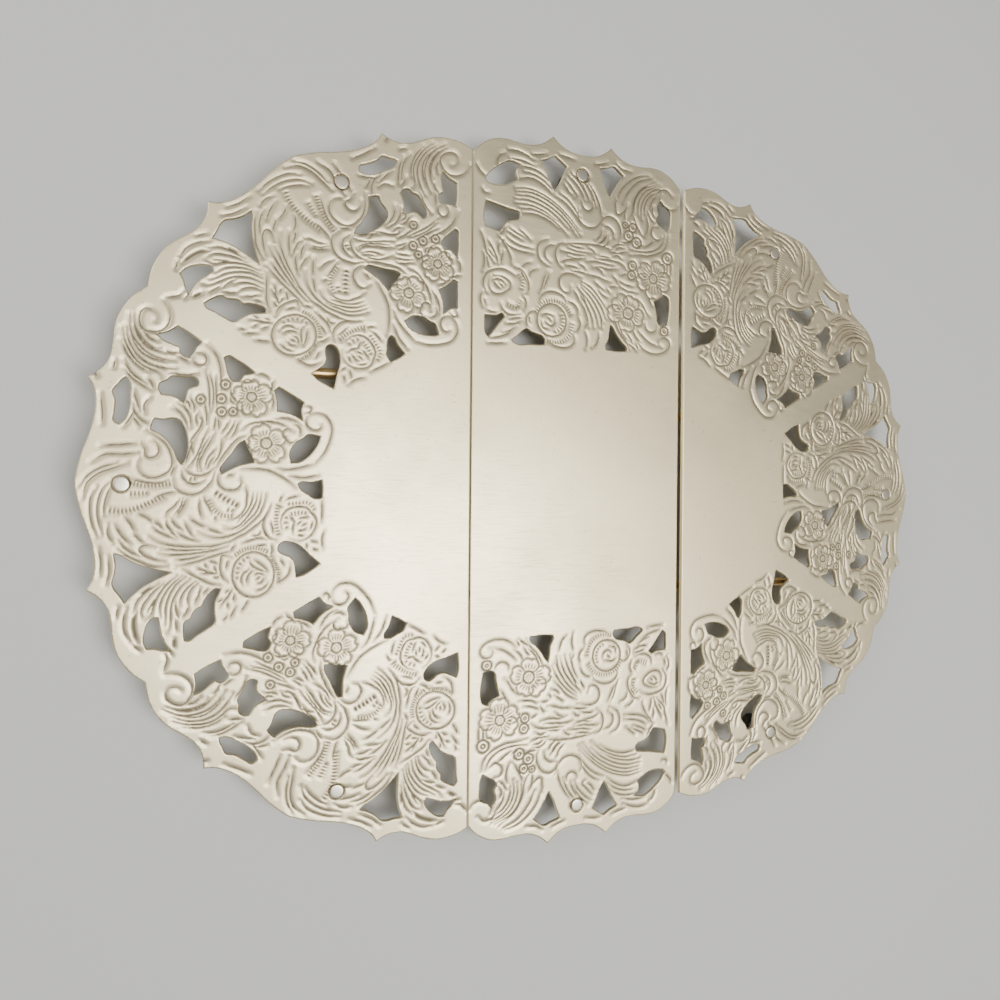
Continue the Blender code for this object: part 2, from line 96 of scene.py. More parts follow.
def curve_through(points, closed=False, step=0.15, corner=None):
    """Points on a smooth curve through the given ones, about step apart; corners stay sharp."""
    p = np.array(points, float)
    count = len(p)
    before = np.roll(p, 1, 0)
    after = np.roll(p, -1, 0)
    if not closed:
        before[0] = p[0]
        after[-1] = p[-1]
    into = p - before
    out = after - p
    len_in = np.hypot(*into.T)
    len_out = np.hypot(*out.T)
    unit_in = into / np.maximum(len_in, TINY)[:, None]
    unit_out = out / np.maximum(len_out, TINY)[:, None]
    tangent = (into / np.maximum(len_in, TINY)[:, None] ** 1.5
               + out / np.maximum(len_out, TINY)[:, None] ** 1.5)
    tangent /= np.maximum(np.hypot(*tangent.T), TINY)[:, None]
    leave = tangent.copy()
    arrive = tangent.copy()
    if corner is not None:
        sharp = (unit_in * unit_out).sum(1) < math.cos(math.radians(corner))
        leave[sharp] = unit_out[sharp]
        arrive[sharp] = unit_in[sharp]
    if not closed:
        leave[0] = unit_out[0] if count < 3 else leave[0]
        arrive[-1] = unit_in[-1] if count < 3 else arrive[-1]
    rows = []
    for i in range(count if closed else count - 1):
        j = (i + 1) % count
        length = len_out[i]
        parts = max(1, int(round(length / step)))
        t = np.arange(parts)[:, None] / parts
        t2 = t * t
        t3 = t2 * t
        rows.append(
            (2 * t3 - 3 * t2 + 1) * p[i] + (t3 - 2 * t2 + t) * leave[i] * length
            + (3 * t2 - 2 * t3) * p[j] + (t3 - t2) * arrive[j] * length
        )
    if not closed:
        rows.append(p[-1:])
    return np.vstack(rows)


def turned_points(points, degrees):
    angle = math.radians(degrees)
    c, s = math.cos(angle), math.sin(angle)
    return np.asarray(points, float) @ np.array([[c, s], [-s, c]])


def inside(points, loops):
    """Which points lie in the region that the loops bound (even-odd rule)."""
    result = np.zeros(len(points), bool)
    x, y = points[:, 0], points[:, 1]
    for loop in loops:
        for (xa, ya), (xb, yb) in zip(loop, np.roll(loop, -1, 0)):
            if ya == yb:
                continue
            crosses = (ya > y) != (yb > y)
            result ^= crosses & (x < (xb - xa) * (y - ya) / (yb - ya) + xa)
    return result


def edge_distance(points, loops, most):
    """Distance to the nearest outline, at most `most`; outlines are dense, so points stand for them."""
    result = np.full(len(points), most)
    grid = {}
    for index, (x, y) in enumerate(points):
        grid.setdefault((int(x // most), int(y // most)), []).append(index)
    for loop in loops:
        middles = (loop + np.roll(loop, -1, 0)) / 2
        for x, y in np.vstack([loop, middles]):
            column, row = int(x // most), int(y // most)
            near = []
            for i in (-1, 0, 1):
                for j in (-1, 0, 1):
                    near += grid.get((column + i, row + j), ())
            if near:
                gap = np.hypot(points[near, 0] - x, points[near, 1] - y)
                result[near] = np.minimum(result[near], gap)
    return result


# ---------------------------------------------------------------- outlines from the frame

def upper_outlines(node):
    """Outlines of a CAD leaf's upper face in mm, largest first, each as an array of points."""
    mesh = frame["nodes"][node].data
    names = {}
    places = []
    index_of = []
    for vertex in mesh.vertices:
        key = tuple(round(value / MM, 4) for value in vertex.co)
        if key not in names:
            names[key] = len(places)
            places.append(key)
        index_of.append(names[key])
    after = {}
    edges = set()
    for face in mesh.polygons:
        if face.normal.z > 0.5:
            ring = [index_of[v] for v in face.vertices]
            edges.update(zip(ring, ring[1:] + ring[:1]))
    for a, b in edges:
        if (b, a) not in edges:
            after[a] = b
    loops = []
    while after:
        start, here = after.popitem()
        ring = [start]
        while here != start:
            ring.append(here)
            here = after.pop(here)
        loops.append(np.array([places[v][:2] for v in ring]))
    return sorted(loops, key=lambda loop: -np.ptp(loop[:, 0]) * np.ptp(loop[:, 1]))


# ---------------------------------------------------------------- chased lines, mm
# The panel's are in the mat's own X and Y; a sector's have +X as its middle line, from the seam's mid-point.

# Short lines along the panel's rim
PANEL_RIM = [
    [(-35.4, 96.7), (-34.6, 95.3), (-33.5, 94.3), (-32.4, 93.8)],
    [(-28.9, 98.3), (-28.7, 99.7), (-27.9, 101), (-26.8, 101.8)],
    [(-25.4, 103), (-22.5, 103.1), (-19.8, 102.5), (-16.9, 101.3)],
    [(-17.5, 102.9), (-15, 103.3), (-12.8, 104)],
    [(-8, 104.4), (-5.5, 104.2), (-3, 103.8)],
    [(4.6, 103.6), (6.8, 104.1), (8.6, 104.9)],
    [(12.3, 105.2), (14.2, 103.9), (17.5, 103.5)],
    [(-33.6, 89.9), (-33.2, 89.1), (-31.8, 88.9)],
]

# Left plume, from the rim down to the stalk
PANEL_LEFT_PLUME = [
    [(-24.8, 100.4), (-20.5, 100.4), (-16.5, 99.4)],
    [(-21, 98.7), (-17.5, 98.6), (-14.2, 97.6), (-12.3, 96.3)],
    [(-20, 97.2), (-16.5, 96.8), (-13.5, 95.6), (-11.2, 93.9)],
    [(-21.5, 95), (-17.5, 95.6), (-13.8, 94.3), (-10.6, 92)],
    [(-23, 91.8), (-19, 92.3), (-14, 91.3), (-9, 88.9), (-4, 85), (-1, 81.9)],
    [(-22.7, 90.8), (-18, 91.2), (-13, 90), (-8, 87.3), (-3.5, 83.4), (-0.5, 80.4)],
    [(-22.5, 89.8), (-18, 90), (-13, 88.7), (-8, 86), (-4, 82.6), (-1.8, 80)],
    [(-23, 88.6), (-18, 88.7), (-13, 87.4), (-8.5, 84.9), (-5, 82)],
    [(-23, 87.3), (-18, 87.3), (-13, 86), (-9, 83.8)],
    [(-21.5, 85.9), (-17, 86.1), (-12, 84.6), (-8, 82.3), (-5, 79.8)],
    [(-20.5, 84.6), (-16, 84.7), (-11.5, 83.4), (-8, 81.5)],
    [(-7.8, 92.6), (-5, 91), (-2.6, 88.5), (-0.8, 86)],
    [(-9.5, 91.5), (-6, 89.8), (-3, 87.2), (-0.5, 84)],
]

# Scroll in the middle and the C-shaped one beside it
PANEL_SCROLLS = [
    [(-4.8, 98.5), (-2, 96.2), (0.3, 93.2), (0.8, 91.5)],
    [(-5.6, 96.9), (-3.2, 94.4), (-2, 92.6), (-3, 91.9)],
    [(-6.2, 95.5), (-4.8, 93.6), (-3.6, 92.8)],
    [(-3.8, 99.5), (-0.8, 96.8), (1.2, 93.5)],
    [(1, 97.5), (3.2, 94.5), (4.6, 91.5), (5, 90.3)],
    [(2.4, 97.2), (4.8, 94), (6.5, 90.2), (7.2, 87)],
    [(0, 96.5), (1.8, 93.5), (2.5, 91.8)],
    [(3.9, 91.3), (3.6, 89.5), (2, 88.6), (0.5, 89.4), (0, 91)],
    [(-1.2, 88.5), (-1.5, 86.5), (-0.2, 84.4), (2, 83.4), (4.5, 83.7), (6.8, 85.8), (7.8, 88.5)],
    [(7.2, 84.9), (7.6, 86.8), (9.6, 87.9), (12, 87.3), (13.8, 85), (14.2, 82.5), (13.3, 79.8)],
    [(8.2, 84.7), (10, 84.3), (11.3, 83), (11.6, 81.2)],
    [(7.3, 83.3), (6.5, 81.2), (4.8, 79.6)],
    [(9.2, 82.2), (8.3, 80.4), (6.2, 78.4)],
    [(10, 80.6), (9, 79), (7.2, 77.7)],
    [(8.6, 81.6), (7.4, 79.8), (5.5, 78.5)],
    [(11, 78), (12.8, 79.3), (15, 79.6)],
    [(12, 77.3), (13.5, 78.4), (15.2, 78.4)],
    [(14.3, 80.3), (17, 80.5), (19, 81.2)],
]

# Right plume and the curl at its tip
PANEL_RIGHT_PLUME = [
    [(12.3, 94), (12.2, 91.5), (12.9, 89.1), (15, 90.1), (16.5, 92)],
    [(12.4, 93), (14.5, 97.5), (18.5, 101.3), (22.5, 103), (24.5, 103.2)],
    [(14.8, 92.8), (17, 97), (20.5, 100.7), (25.2, 102.7)],
    [(15.7, 87.5), (15.6, 90), (16.6, 92.6)],
    [(16.8, 87.5), (18.5, 90.5), (18.8, 93.5), (21, 97.8), (26.5, 101.8)],
    [(19.2, 90), (19.2, 93.5), (21.8, 98.2), (27.8, 101)],
    [(20.8, 89.5), (20.6, 93), (23, 97.8), (29, 100.6)],
    [(22, 88.5), (21.8, 92.5), (24, 97), (28.5, 99.6), (31, 99.3)],
    [(23, 90.5), (23.2, 93.5), (25.2, 96.8), (28, 98.6)],
    [(25.1, 92.2), (25.8, 95), (28, 97.6)],
    [(27.5, 97.6), (29, 99.2), (31.5, 99.6), (33.6, 98)],
    [(29.5, 98), (29, 95.8), (30.5, 94.2), (33, 93.4), (35.2, 94.3), (36, 95.4)],
    [(18.8, 89.6), (20, 86.6), (21.5, 84.3), (22.3, 83.4)],
    [(24, 89.5), (24.4, 87), (23.9, 84.8), (23, 83.3)],
    [(24.2, 91.5), (25.3, 89.5), (26.8, 88.4)],
    [(26.3, 93.5), (26, 91.5), (26.8, 90.2)],
]

# S-shaped scroll at the right
PANEL_S_SCROLL = [
    [(29.8, 83.9), (28, 82.8), (26.3, 83.6), (25.7, 85.2), (26.5, 86.8), (28.3, 87.3)],
    [(32.3, 84.6), (32, 82.3), (30.4, 79.8), (28, 78.4), (24.5, 77.2), (20.5, 77), (17.5, 76.6)],
    [(31, 84.5), (30.2, 82.2), (27.5, 79.6), (24, 78.4), (20, 78.2), (17.5, 78.6)],
    [(23, 79.8), (25, 81), (26.8, 82.6)],
    [(20.5, 79.7), (22.5, 80.5)],
    [(32, 75.5), (31.9, 73), (32.1, 71.5)],
    [(33.4, 76), (33.5, 73.5), (33.2, 71)],
]

# Spear-shaped leaves at the left
PANEL_SPEARS = [
    [(-33.9, 77), (-33.2, 75.2), (-32.6, 73), (-32.2, 71.2), (-31, 69.8), (-29.4, 68.1)],
    [(-33, 71), (-32.8, 68.5), (-33.4, 65.2)],
    [(-32.2, 70.2), (-31.8, 68.4), (-31.2, 66.8)],
    [(-31.6, 74.7), (-30.2, 72.6), (-29, 70.2), (-28.3, 67.7)],
    [(-31.3, 71.9), (-30.6, 70.9), (-29.9, 70.2)],
    [(-28, 74.5), (-28.3, 73), (-28, 71.3)],
    [(-26.6, 72), (-27.1, 70.2), (-27.4, 68.4)],
    [(-28.3, 76.7), (-26.4, 74.4), (-25.2, 72.5), (-24.2, 70.4), (-23.9, 68.5)],
    [(-26, 79.6), (-27.1, 77.8), (-28.3, 76.7)],
    [(-25.4, 78.4), (-23.6, 77.4), (-20.5, 76.2)],
    [(-25.5, 76.6), (-23.6, 75.4), (-21, 74.5), (-16.9, 74.1)],
    [(-26.8, 75.7), (-25.4, 74.2), (-22.1, 73), (-16.9, 72.6)],
    [(-21.2, 79.2), (-19.5, 78), (-17.8, 76.6)],
    [(-24.5, 79.3), (-22.1, 78.1), (-19.9, 77.2)],
    [(-20.5, 68), (-19.3, 69.2), (-17.8, 69.9)],
    [(-18.1, 65.7), (-17.5, 66.9), (-15.5, 68.2)],
    [(-14.6, 60.8), (-13.7, 63), (-12.8, 66), (-11.9, 67.7)],
    [(-13.1, 62.8), (-11.9, 65.4), (-11.1, 67.4)],
]

# Full rose at the left
PANEL_ROSE_LEFT = [
    [(-31.8, 59), (-32.9, 60.8), (-32.9, 63.1), (-31.8, 65.2), (-29.8, 66.2), (-26.8, 66.7),
     (-24.5, 66.1), (-22.7, 65.2)],
    [(-29.8, 64.5), (-28, 64.5), (-26, 64), (-24.5, 63), (-24.2, 61.9), (-25.7, 60.1), (-27.4, 59.2),
     (-29.8, 59.2), (-31, 60.4), (-31.2, 62.1), (-30.7, 63.9)],
    [(-30.1, 63), (-28.6, 63.5), (-26.8, 63), (-26, 62.1)],
    [(-29.5, 62.4), (-28.6, 61.3), (-27.6, 60.7)],
    [(-27.7, 62.1), (-26.8, 61.4)],
    [(-22.9, 67.8), (-21, 67.3), (-19.3, 65.6), (-18.4, 63.6), (-18.2, 61.9), (-18.7, 60.6),
     (-20, 59.7)],
    [(-20.9, 66.6), (-19.8, 65), (-19.2, 63.8)],
    [(-19.9, 59.2), (-19.2, 58.1), (-19.1, 56.4), (-19.8, 55)],
    [(-27.4, 56.1), (-26.8, 54.6), (-25.4, 53.5), (-23.5, 53.1), (-21.2, 53.7)],
    [(-33.3, 59.4), (-34, 57.7), (-33.8, 56), (-33.2, 54.7)],
    [(-32.7, 57), (-32.3, 55.5)],
    [(-31.6, 53.9), (-30.2, 53.4), (-29, 53.6)],
    [(-22.4, 55.3), (-21, 56.2)],
]

# Full rose beside it, nearer the middle
PANEL_ROSE_MIDDLE = [
    [(-13.7, 54.2), (-12.2, 54.6), (-9.6, 54.2)],
    [(-11.6, 53.6), (-10.5, 52.6)],
    [(-12.2, 52), (-10.8, 51.1), (-9.3, 51.9), (-9, 53.3)],
    [(-13.7, 51.9), (-13.4, 50.4), (-11.6, 50.1)],
    [(-14.4, 57.5), (-14.1, 59.5), (-12.5, 61.2), (-10, 61.7), (-7.5, 61.2), (-5.8, 60), (-5.2, 58.6)],
    [(-4.6, 59.2), (-2.8, 58.7), (-1.3, 57), (-1, 55.5)],
    [(-0.9, 54.5), (-0.3, 52.5), (-1, 50.8), (-2.4, 49.8)],
    [(-2.6, 49), (-2.2, 47.2), (-3.2, 45.6), (-5, 44.8), (-7.5, 44.7), (-9.8, 45.2), (-11.4, 46.5)],
    [(-15.6, 55.2), (-17.2, 54.8), (-18.6, 53.4), (-18.9, 51.5), (-18, 49.6)],
    [(-18, 53.2), (-17.9, 51.8)],
]

# Collar of the horn, its volute and the plume in front
PANEL_HORN = [
    [(-12.2, 77.7), (-14, 76.9), (-15.2, 75.1), (-15.3, 73.3), (-14.6, 71.3), (-13.1, 70.1),
     (-11.6, 69.5)],
    [(-9.3, 76.3), (-11.6, 75.7), (-12.8, 73.9), (-12.7, 72.4), (-11.1, 70.7)],
    [(-6.3, 77.4), (-8.1, 76.6), (-9, 74.8), (-9.1, 72.7), (-8.1, 70.7), (-6.9, 69.6)],
    [(-3.7, 63.9), (-4.2, 62.4), (-5.6, 61.9), (-7.2, 63), (-7.8, 65), (-7.2, 66.9), (-5.5, 67.9),
     (-3, 68), (0, 67.2)],
    [(0.2, 66), (3.5, 64.4), (6.8, 61), (8.7, 58.9)],
    [(0.3, 65), (4, 62.3), (7.3, 58.5), (9, 55)],
    [(0.2, 64), (3.6, 61), (6.4, 57), (8, 53.8)],
    [(0, 62.8), (2.8, 59.8), (5.2, 56), (6.4, 52.3)],
    [(0, 61.3), (2, 58.5), (3.8, 55), (4.6, 51.8)],
    [(0, 59.3), (1.5, 56.7), (2.3, 54), (2.7, 51.8)],
    [(-2.4, 62.6), (-1.4, 61.2), (-0.7, 59.8)],
    [(-1.2, 63.9), (0.4, 61.9), (1.4, 59.6), (2.6, 56.8)],
    [(6.2, 57.5), (7.2, 54.8), (7.4, 52)],
    [(1.6, 50.2), (2.2, 48.2), (2.1, 46), (1.6, 44.7)],
    [(6.6, 50), (6.3, 48.5), (5.2, 46.4), (3.9, 45.5)],
    [(2.2, 53), (1.6, 51.8)],
]

# Bundle of stalks across the middle of the panel
PANEL_STALK = [
    [(-6, 77.2), (0, 77.9), (6, 78.1), (12, 77.2)],
    [(-4.7, 76), (-2.4, 75.4), (0.8, 75.2), (3.4, 75.4)],
    [(-4.1, 76.9), (-1.8, 76.6), (0.2, 76.6)],
    [(2.6, 76.9), (4, 76.3), (4.9, 75.4)],
    [(-7.4, 74.8), (-4.7, 74.5), (-1.8, 74.2), (1.1, 74.4)],
    [(6.4, 74.9), (8.4, 74.8), (10.5, 74.6)],
    [(11.4, 75.4), (13.1, 75.7), (14.6, 74.8)],
    [(-4.7, 73.3), (-1.8, 72.9), (1.1, 73.5)],
    [(-7.5, 71.2), (-5, 72.2), (-2, 72.7)],
    [(1.7, 72.6), (4.9, 72.9), (8.4, 72.6), (11.7, 72.4)],
    [(4.9, 73.9), (7.8, 73.9), (10.8, 73.9), (14, 73.5), (15.8, 72.4), (16.4, 71.6)],
    [(12.8, 71.6), (9.9, 71), (7, 71.3), (4, 71)],
    [(-0.7, 71.3), (0.8, 70.7), (1.4, 69.8)],
    [(14.3, 69.5), (16.4, 70.4)],
    [(5.2, 71), (7, 70.1), (7.8, 69.1)],
    [(2, 68.6), (4, 68.3), (6.4, 68), (8.1, 67.4), (10.5, 67.1)],
    [(11.5, 68.9), (12.8, 67.7), (13.1, 66.9)],
    [(10.5, 65.5), (12.6, 65.8)],
    [(13.4, 67.9), (15.8, 66.9), (18.7, 66.6)],
    [(14, 66), (16.7, 64.8), (20.2, 64.8)],
    [(4.9, 66.3), (7, 64.8), (8.1, 64.2)],
    [(6.4, 63.6), (7.8, 62.4), (9.3, 62)],
    [(9.3, 64.5), (10.2, 63.5)],
    [(-5.5, 70.5), (-2.5, 70.3), (-1, 69.9)],
    [(-3.5, 68.9), (-0.5, 68.9), (2, 68.6)],
    [(10.3, 76.8), (13, 76.5), (16.2, 77.6)],
]

# Loose leaves and the scroll along the plain middle
PANEL_FOOT = [
    [(-24.5, 51.8), (-22.5, 52.3), (-20.3, 52.6)],
    [(-25.6, 50.5), (-23, 50.5), (-20.5, 51.8)],
    [(-26.5, 47.5), (-24, 48.5), (-22.4, 49.8)],
    [(-30.5, 45.6), (-27.5, 46.3), (-25.2, 47.3), (-23.6, 48.5)],
    [(-31.5, 44), (-28, 44.2), (-25.8, 44.6)],
    [(12, 55.4), (13, 53), (14.5, 50.5), (16.5, 48.4), (17.8, 46)],
    [(14, 52.5), (15.3, 50.5), (17.3, 48.7)],
    [(16.9, 51), (18, 49.6), (18.8, 48.2)],
    [(18.8, 52.5), (20, 50.5), (21.8, 48.7)],
    [(17.2, 47.8), (19, 46.8), (20.5, 45.7)],
    [(20.3, 47.8), (21, 46.3)],
    [(21, 48.4), (23, 46.6), (26, 45.4), (29.5, 45.6), (32.2, 47), (33.2, 48.9), (32.3, 50.5),
     (30.7, 50.9), (29.2, 50), (29, 48.5), (30.2, 47.6)],
    [(21.2, 52.2), (23.2, 50.3), (26, 48.6), (28.6, 48)],
    [(23.5, 54.8), (24.3, 53), (26, 52.3), (27.8, 53.2), (28.3, 54.5)],
    [(20.8, 62.6), (22.6, 60.8), (24, 58.6), (25.2, 57.5)],
    [(24.5, 64.2), (25.3, 62.5), (26.4, 60.9)],
]

# Full rose beside the strap, its petals and core
SECTOR_ROSE_OUTER = [
    [(57.2, 26.1), (58.5, 27.3), (60.3, 27.9)],
    [(58.2, 24.5), (58.9, 25.7), (60.1, 25.8)],
    [(59.1, 24.1), (60.3, 24.9)],
    [(58.3, 23.6), (59.5, 23.2), (60.7, 23.6)],
    [(62.6, 25.7), (62.4, 24.4), (61.4, 22.8), (60.6, 22.3)],
    [(63.6, 26.2), (63.9, 24.6), (63.5, 23.3), (62.2, 22.3), (61.9, 21.6)],
    [(57.2, 22.7), (58.2, 21.5), (59.8, 20.2), (60.8, 19.6)],
    [(57.7, 22.8), (59.8, 22), (61.4, 20.9), (61.9, 19.6)],
    [(54.9, 25.9), (53.2, 25), (51.9, 23.8), (51.5, 22.3), (51.6, 20.9)],
    [(52.9, 21.3), (54.1, 19.6)],
    [(56.5, 18.6), (56.1, 17), (56.4, 15.4)],
    [(57.7, 15.7), (60.3, 15.9)],
    [(57.7, 14.1), (59.8, 13.8), (61.9, 14.5), (64, 15.2)],
    [(66.6, 17), (65.6, 15.7)],
    [(67.2, 25.3), (68.5, 24.1), (69.1, 22), (69, 19.6), (68.6, 18.3), (67.7, 18.4), (66.4, 19)],
    [(67.7, 21.6), (67.2, 19.6)],
]

# Spear-shaped leaves between the rose and the strap
SECTOR_SPEARS = [
    [(62.2, 30.2), (62.8, 31.5), (64, 33.2)],
    [(65.8, 30.2), (65.6, 28.6)],
    [(66.1, 27), (67.2, 29.1), (69.3, 31.7)],
    [(65.3, 32), (66.2, 34), (66.8, 34.8)],
    [(67.2, 32), (67.3, 30.8)],
    [(67.3, 34.3), (68.3, 35.3)],
    [(68.5, 29.9), (69.7, 30.4)],
    [(66.9, 27.5), (67.8, 27.9)],
    [(69.3, 26.1), (71.9, 25.4), (74.3, 24.1), (76.6, 22.7), (78.5, 21.6)],
    [(69.3, 23.6), (69.9, 24), (70.8, 23.7)],
    [(69.7, 22.9), (71.9, 22.8), (74, 22.8)],
    [(71.9, 22.7), (73, 22.1), (75, 21.5)],
    [(70, 22.5), (70.7, 20.9)],
    [(72.4, 21.3), (73, 20.3)],
    [(69.7, 20.4), (71.9, 19.6)],
]

# Plume that rises to the rim
SECTOR_PLUME = [
    [(72.1, 26.9), (73.3, 28.2)],
    [(73.9, 26.5), (74.2, 28.2), (75.4, 30.7)],
    [(74.6, 25.3), (76.3, 27.3), (76.9, 29.4), (76.7, 31.3)],
    [(76.7, 31.3), (77.3, 33), (78.3, 34)],
    [(75, 24.8), (77.3, 26.9), (78.5, 29), (79, 30.9)],
    [(79, 34), (79.6, 32.3), (79.8, 30)],
    [(76.3, 24), (78.8, 26.5), (80.2, 29), (80.8, 31.5), (80.9, 33.6), (81.2, 36.5), (82.1, 37.8)],
    [(77.5, 23.6), (79.8, 25.7), (81.5, 29), (82.1, 31.5), (82.1, 34), (82.3, 35.7)],
    [(78.3, 23.4), (80.8, 25.7), (82.7, 28.6), (83.5, 31.5), (83.3, 33.6)],
    [(79.6, 23.4), (82.1, 25.7), (84, 28.6), (84.8, 30.7), (85.6, 33), (86.9, 34)],
    [(84.4, 29), (85.4, 30.7), (86.3, 32.1)],
    [(82.5, 25.3), (84.6, 26.9), (86.3, 29), (87.5, 31.1), (87.7, 33.2), (87.3, 34)],
    [(83.8, 25.3), (86.7, 27.3), (88.8, 29.8), (89.6, 32.3)],
    [(85.8, 26.1), (87.9, 27.8)],
    [(90.2, 39.4), (91.5, 36.9), (91.7, 34), (91, 31.1)],
    [(87.9, 41.9), (89.4, 40.5)],
    [(93.3, 33.2), (92.9, 30.7)],
    [(79.5, 37.3), (79.7, 34.4)],
    [(80.5, 43.6), (81, 41.9)],
    [(82.4, 47.3), (81.9, 45.8), (81.6, 44.6), (82.1, 43.1)],
]

# Bundle of long leaves under the three-cornered opening
SECTOR_BUNDLE = [
    [(66, 17), (70.5, 18.3), (73.7, 19.4), (76.8, 20.2), (80, 20.9)],
    [(73.2, 18.2), (75.8, 18.8), (78.4, 19.2), (80.1, 19.1)],
    [(67.4, 15.8), (70, 16.7), (73.2, 17.3), (76.3, 17.7), (79.5, 17.9), (82.6, 17.8), (84.1, 17.5)],
    [(71.8, 16.5), (74.7, 16.7), (77.9, 16.8), (81.1, 16.5), (83.5, 16.4)],
    [(66.3, 14.5), (69.2, 15.4), (71.8, 15.9), (74.7, 15.9), (78.4, 15.8), (81.6, 15.3),
     (84.5, 14.4), (86.3, 13.3)],
    [(82.6, 19.6), (85.3, 18.8), (87.6, 17.5), (88.2, 16.3), (87.6, 15.6), (85.3, 15.7), (84.6, 15.9)],
    [(81.8, 20.8), (85.3, 20.7), (88.4, 19.4), (91, 18), (93.2, 16.3)],
    [(88.3, 18), (90.3, 17), (91.8, 15.7), (93, 14.1)],
    [(87.4, 14.8), (88.4, 13.8), (89.7, 12.3)],
    [(90.5, 14.9), (92.1, 13.1), (93.9, 10.4)],
    [(94.2, 14.6), (95.3, 12.5), (95.3, 10.2)],
    [(89.5, 11.7), (90.3, 9.9), (91.7, 8.3)],
    [(74.7, 14.5), (76.8, 13.8), (78.4, 13.1), (79.7, 12.1)],
    [(75.8, 13.3), (76.8, 11.7), (77.9, 9.6)],
    [(79.7, 13.3), (81.3, 11.3), (82.1, 9.9), (82.1, 9)],
    [(78.4, 11.5), (80, 10.2), (81.1, 8.8)],
    [(80.3, 13.7), (82.4, 12.8), (83.9, 12), (85.5, 10.9)],
    [(82.9, 11.2), (83.7, 10.2), (85, 9.4)],
    [(85.3, 9.6), (86.8, 8.3), (88.9, 7.3)],
    [(79.5, 7.8), (78.2, 5.9), (77.5, 3.6)],
    [(80.1, 7.5), (78.7, 5.7), (78.2, 3.3)],
    [(78.9, 3.6), (80, 5.2), (82.1, 7.3), (82.4, 8.1)],
]

# Lines along the rim
SECTOR_RIM = [
    [(96.6, 12.5), (97.6, 8.1), (97.6, 4.9), (96.3, 0.9), (94.5, -1)],
    [(97.8, 13), (98.8, 10), (99.3, 6.5), (99, 3), (97.8, 0.8)],
    [(96.2, 7.8), (96.1, 5.2), (95.3, 2), (94.5, 0.2)],
    [(95.6, 24.8), (95, 22.3), (95.2, 18.2)],
    [(97, 22.6), (96.8, 19.4), (97.4, 15.9)],
    [(91, -5.3), (94, -4), (97.5, -2.5), (100, 0), (100.8, 3.5)],
    [(93.5, -5.2), (97, -4), (99.8, -2), (101.6, 0.5)],
    [(88.5, -8), (92, -7.5), (96, -7.3), (99, -5.5)],
    [(89, -10.3), (93, -9.8), (97, -9.5)],
    [(96.7, -14.8), (96.7, -18.2), (97.1, -22.3)],
    [(97.9, -26.5), (98.5, -27.7)],
    [(94.2, -29), (94, -30.7)],
]

# Big arcs round the inner rose and their volute
SECTOR_ARCS = [
    [(57.9, 2), (58.3, 4.6), (59.5, 7.5), (61.4, 9.6), (63.5, 11.5), (66.6, 13.1), (69.8, 13.6),
     (72.4, 13.2), (74.8, 12.3)],
    [(59, 2), (59.3, 4.4), (60.3, 7), (62.2, 9.1), (64, 10.9), (65.1, 11.7)],
    [(56.6, 4.9), (57.4, 7), (58.7, 9.1), (60.8, 10.9), (62.9, 12.5), (65.1, 13.6), (66.9, 14.6),
     (69, 15.2)],
    [(60.1, 2), (60.3, 4.1), (61.4, 6.5), (62.9, 8.8), (65.1, 10.9), (66.9, 11.3), (68.5, 11.1)],
    [(61.1, 2), (61.5, 4.6), (62.7, 7), (64, 8.3), (65.1, 9.6)],
    [(63.2, 0.2), (62.6, 2), (62.7, 3.8), (62.9, 5.7), (64, 7.5), (65.6, 8.6), (67.7, 8.7)],
    [(59, 12), (59.8, 13.1), (61.4, 13.2)],
    [(68.9, 12.5), (70.5, 11.9), (72.4, 11.2)],
    [(72.9, 10.9), (74.7, 9.9), (76.8, 8.6)],
    [(64.5, -2.2), (64.1, -0.4), (65.1, 0.8), (66.9, 1.2), (68.7, 0.7), (69.8, -0.9), (69.9, -2.5),
     (69.4, -3.8)],
    [(66.2, -2.9), (67.6, -2.6)],
    [(71.1, 7.3), (72.4, 4.9), (73.4, 3.1)],
    [(73.8, 8.3), (74.3, 6.2), (74.3, 3.6)],
    [(70.5, 8.9), (70.3, 8)],
    [(66.5, 6.9), (65.9, 6.1)],
    [(67.4, 6.7), (67.2, 6)],
]

# Full rose at the plain middle, its petals and core
SECTOR_ROSE_INNER = [
    [(53.7, 11.5), (54, 9.6), (53.2, 7.3), (51.6, 5.9), (49.3, 5.4), (47.2, 5.7), (45.6, 7.3),
     (44.5, 9.4), (45.1, 11.7), (46.4, 13.6), (47.9, 14.4), (50.1, 14.6), (51.9, 14.1)],
    [(45.6, 9.5), (45.8, 10.7), (46.4, 11.6)],
    [(47, 11.1), (47.9, 11.7), (49.5, 12)],
    [(47.9, 13.3), (49.5, 13.1)],
    [(47.2, 10), (48.5, 10.6)],
    [(48.5, 9.4), (49.7, 10.3)],
    [(50.7, 12.7), (50.8, 11.2), (50.4, 9.6), (51.1, 8.6), (51.9, 7.3)],
    [(46.4, 8.2), (47.9, 8.3), (49.4, 8.8)],
    [(55.1, 14.4), (56.9, 13.8), (57.9, 12.5), (58.5, 10.4), (58.1, 8.6), (57.2, 6.7), (56.4, 4.9)],
    [(55.8, 12.7), (56.1, 10.9), (56.6, 9.4)],
    [(49.5, 2.5), (51.6, 3.1), (52.7, 3.6)],
    [(54.3, 4.1), (53.7, 2.5)],
    [(53.7, 5.7), (55.3, 4.9)],
    [(43.2, 9.5), (43, 6), (43.2, 3.2)],
    [(44, 17.3), (45.6, 16.9)],
    [(47, 16.7), (47.2, 15.4)],
    [(44, 15.2), (46.2, 14.6)],
    [(42.5, 12), (43, 14.5), (42.8, 17)],
]

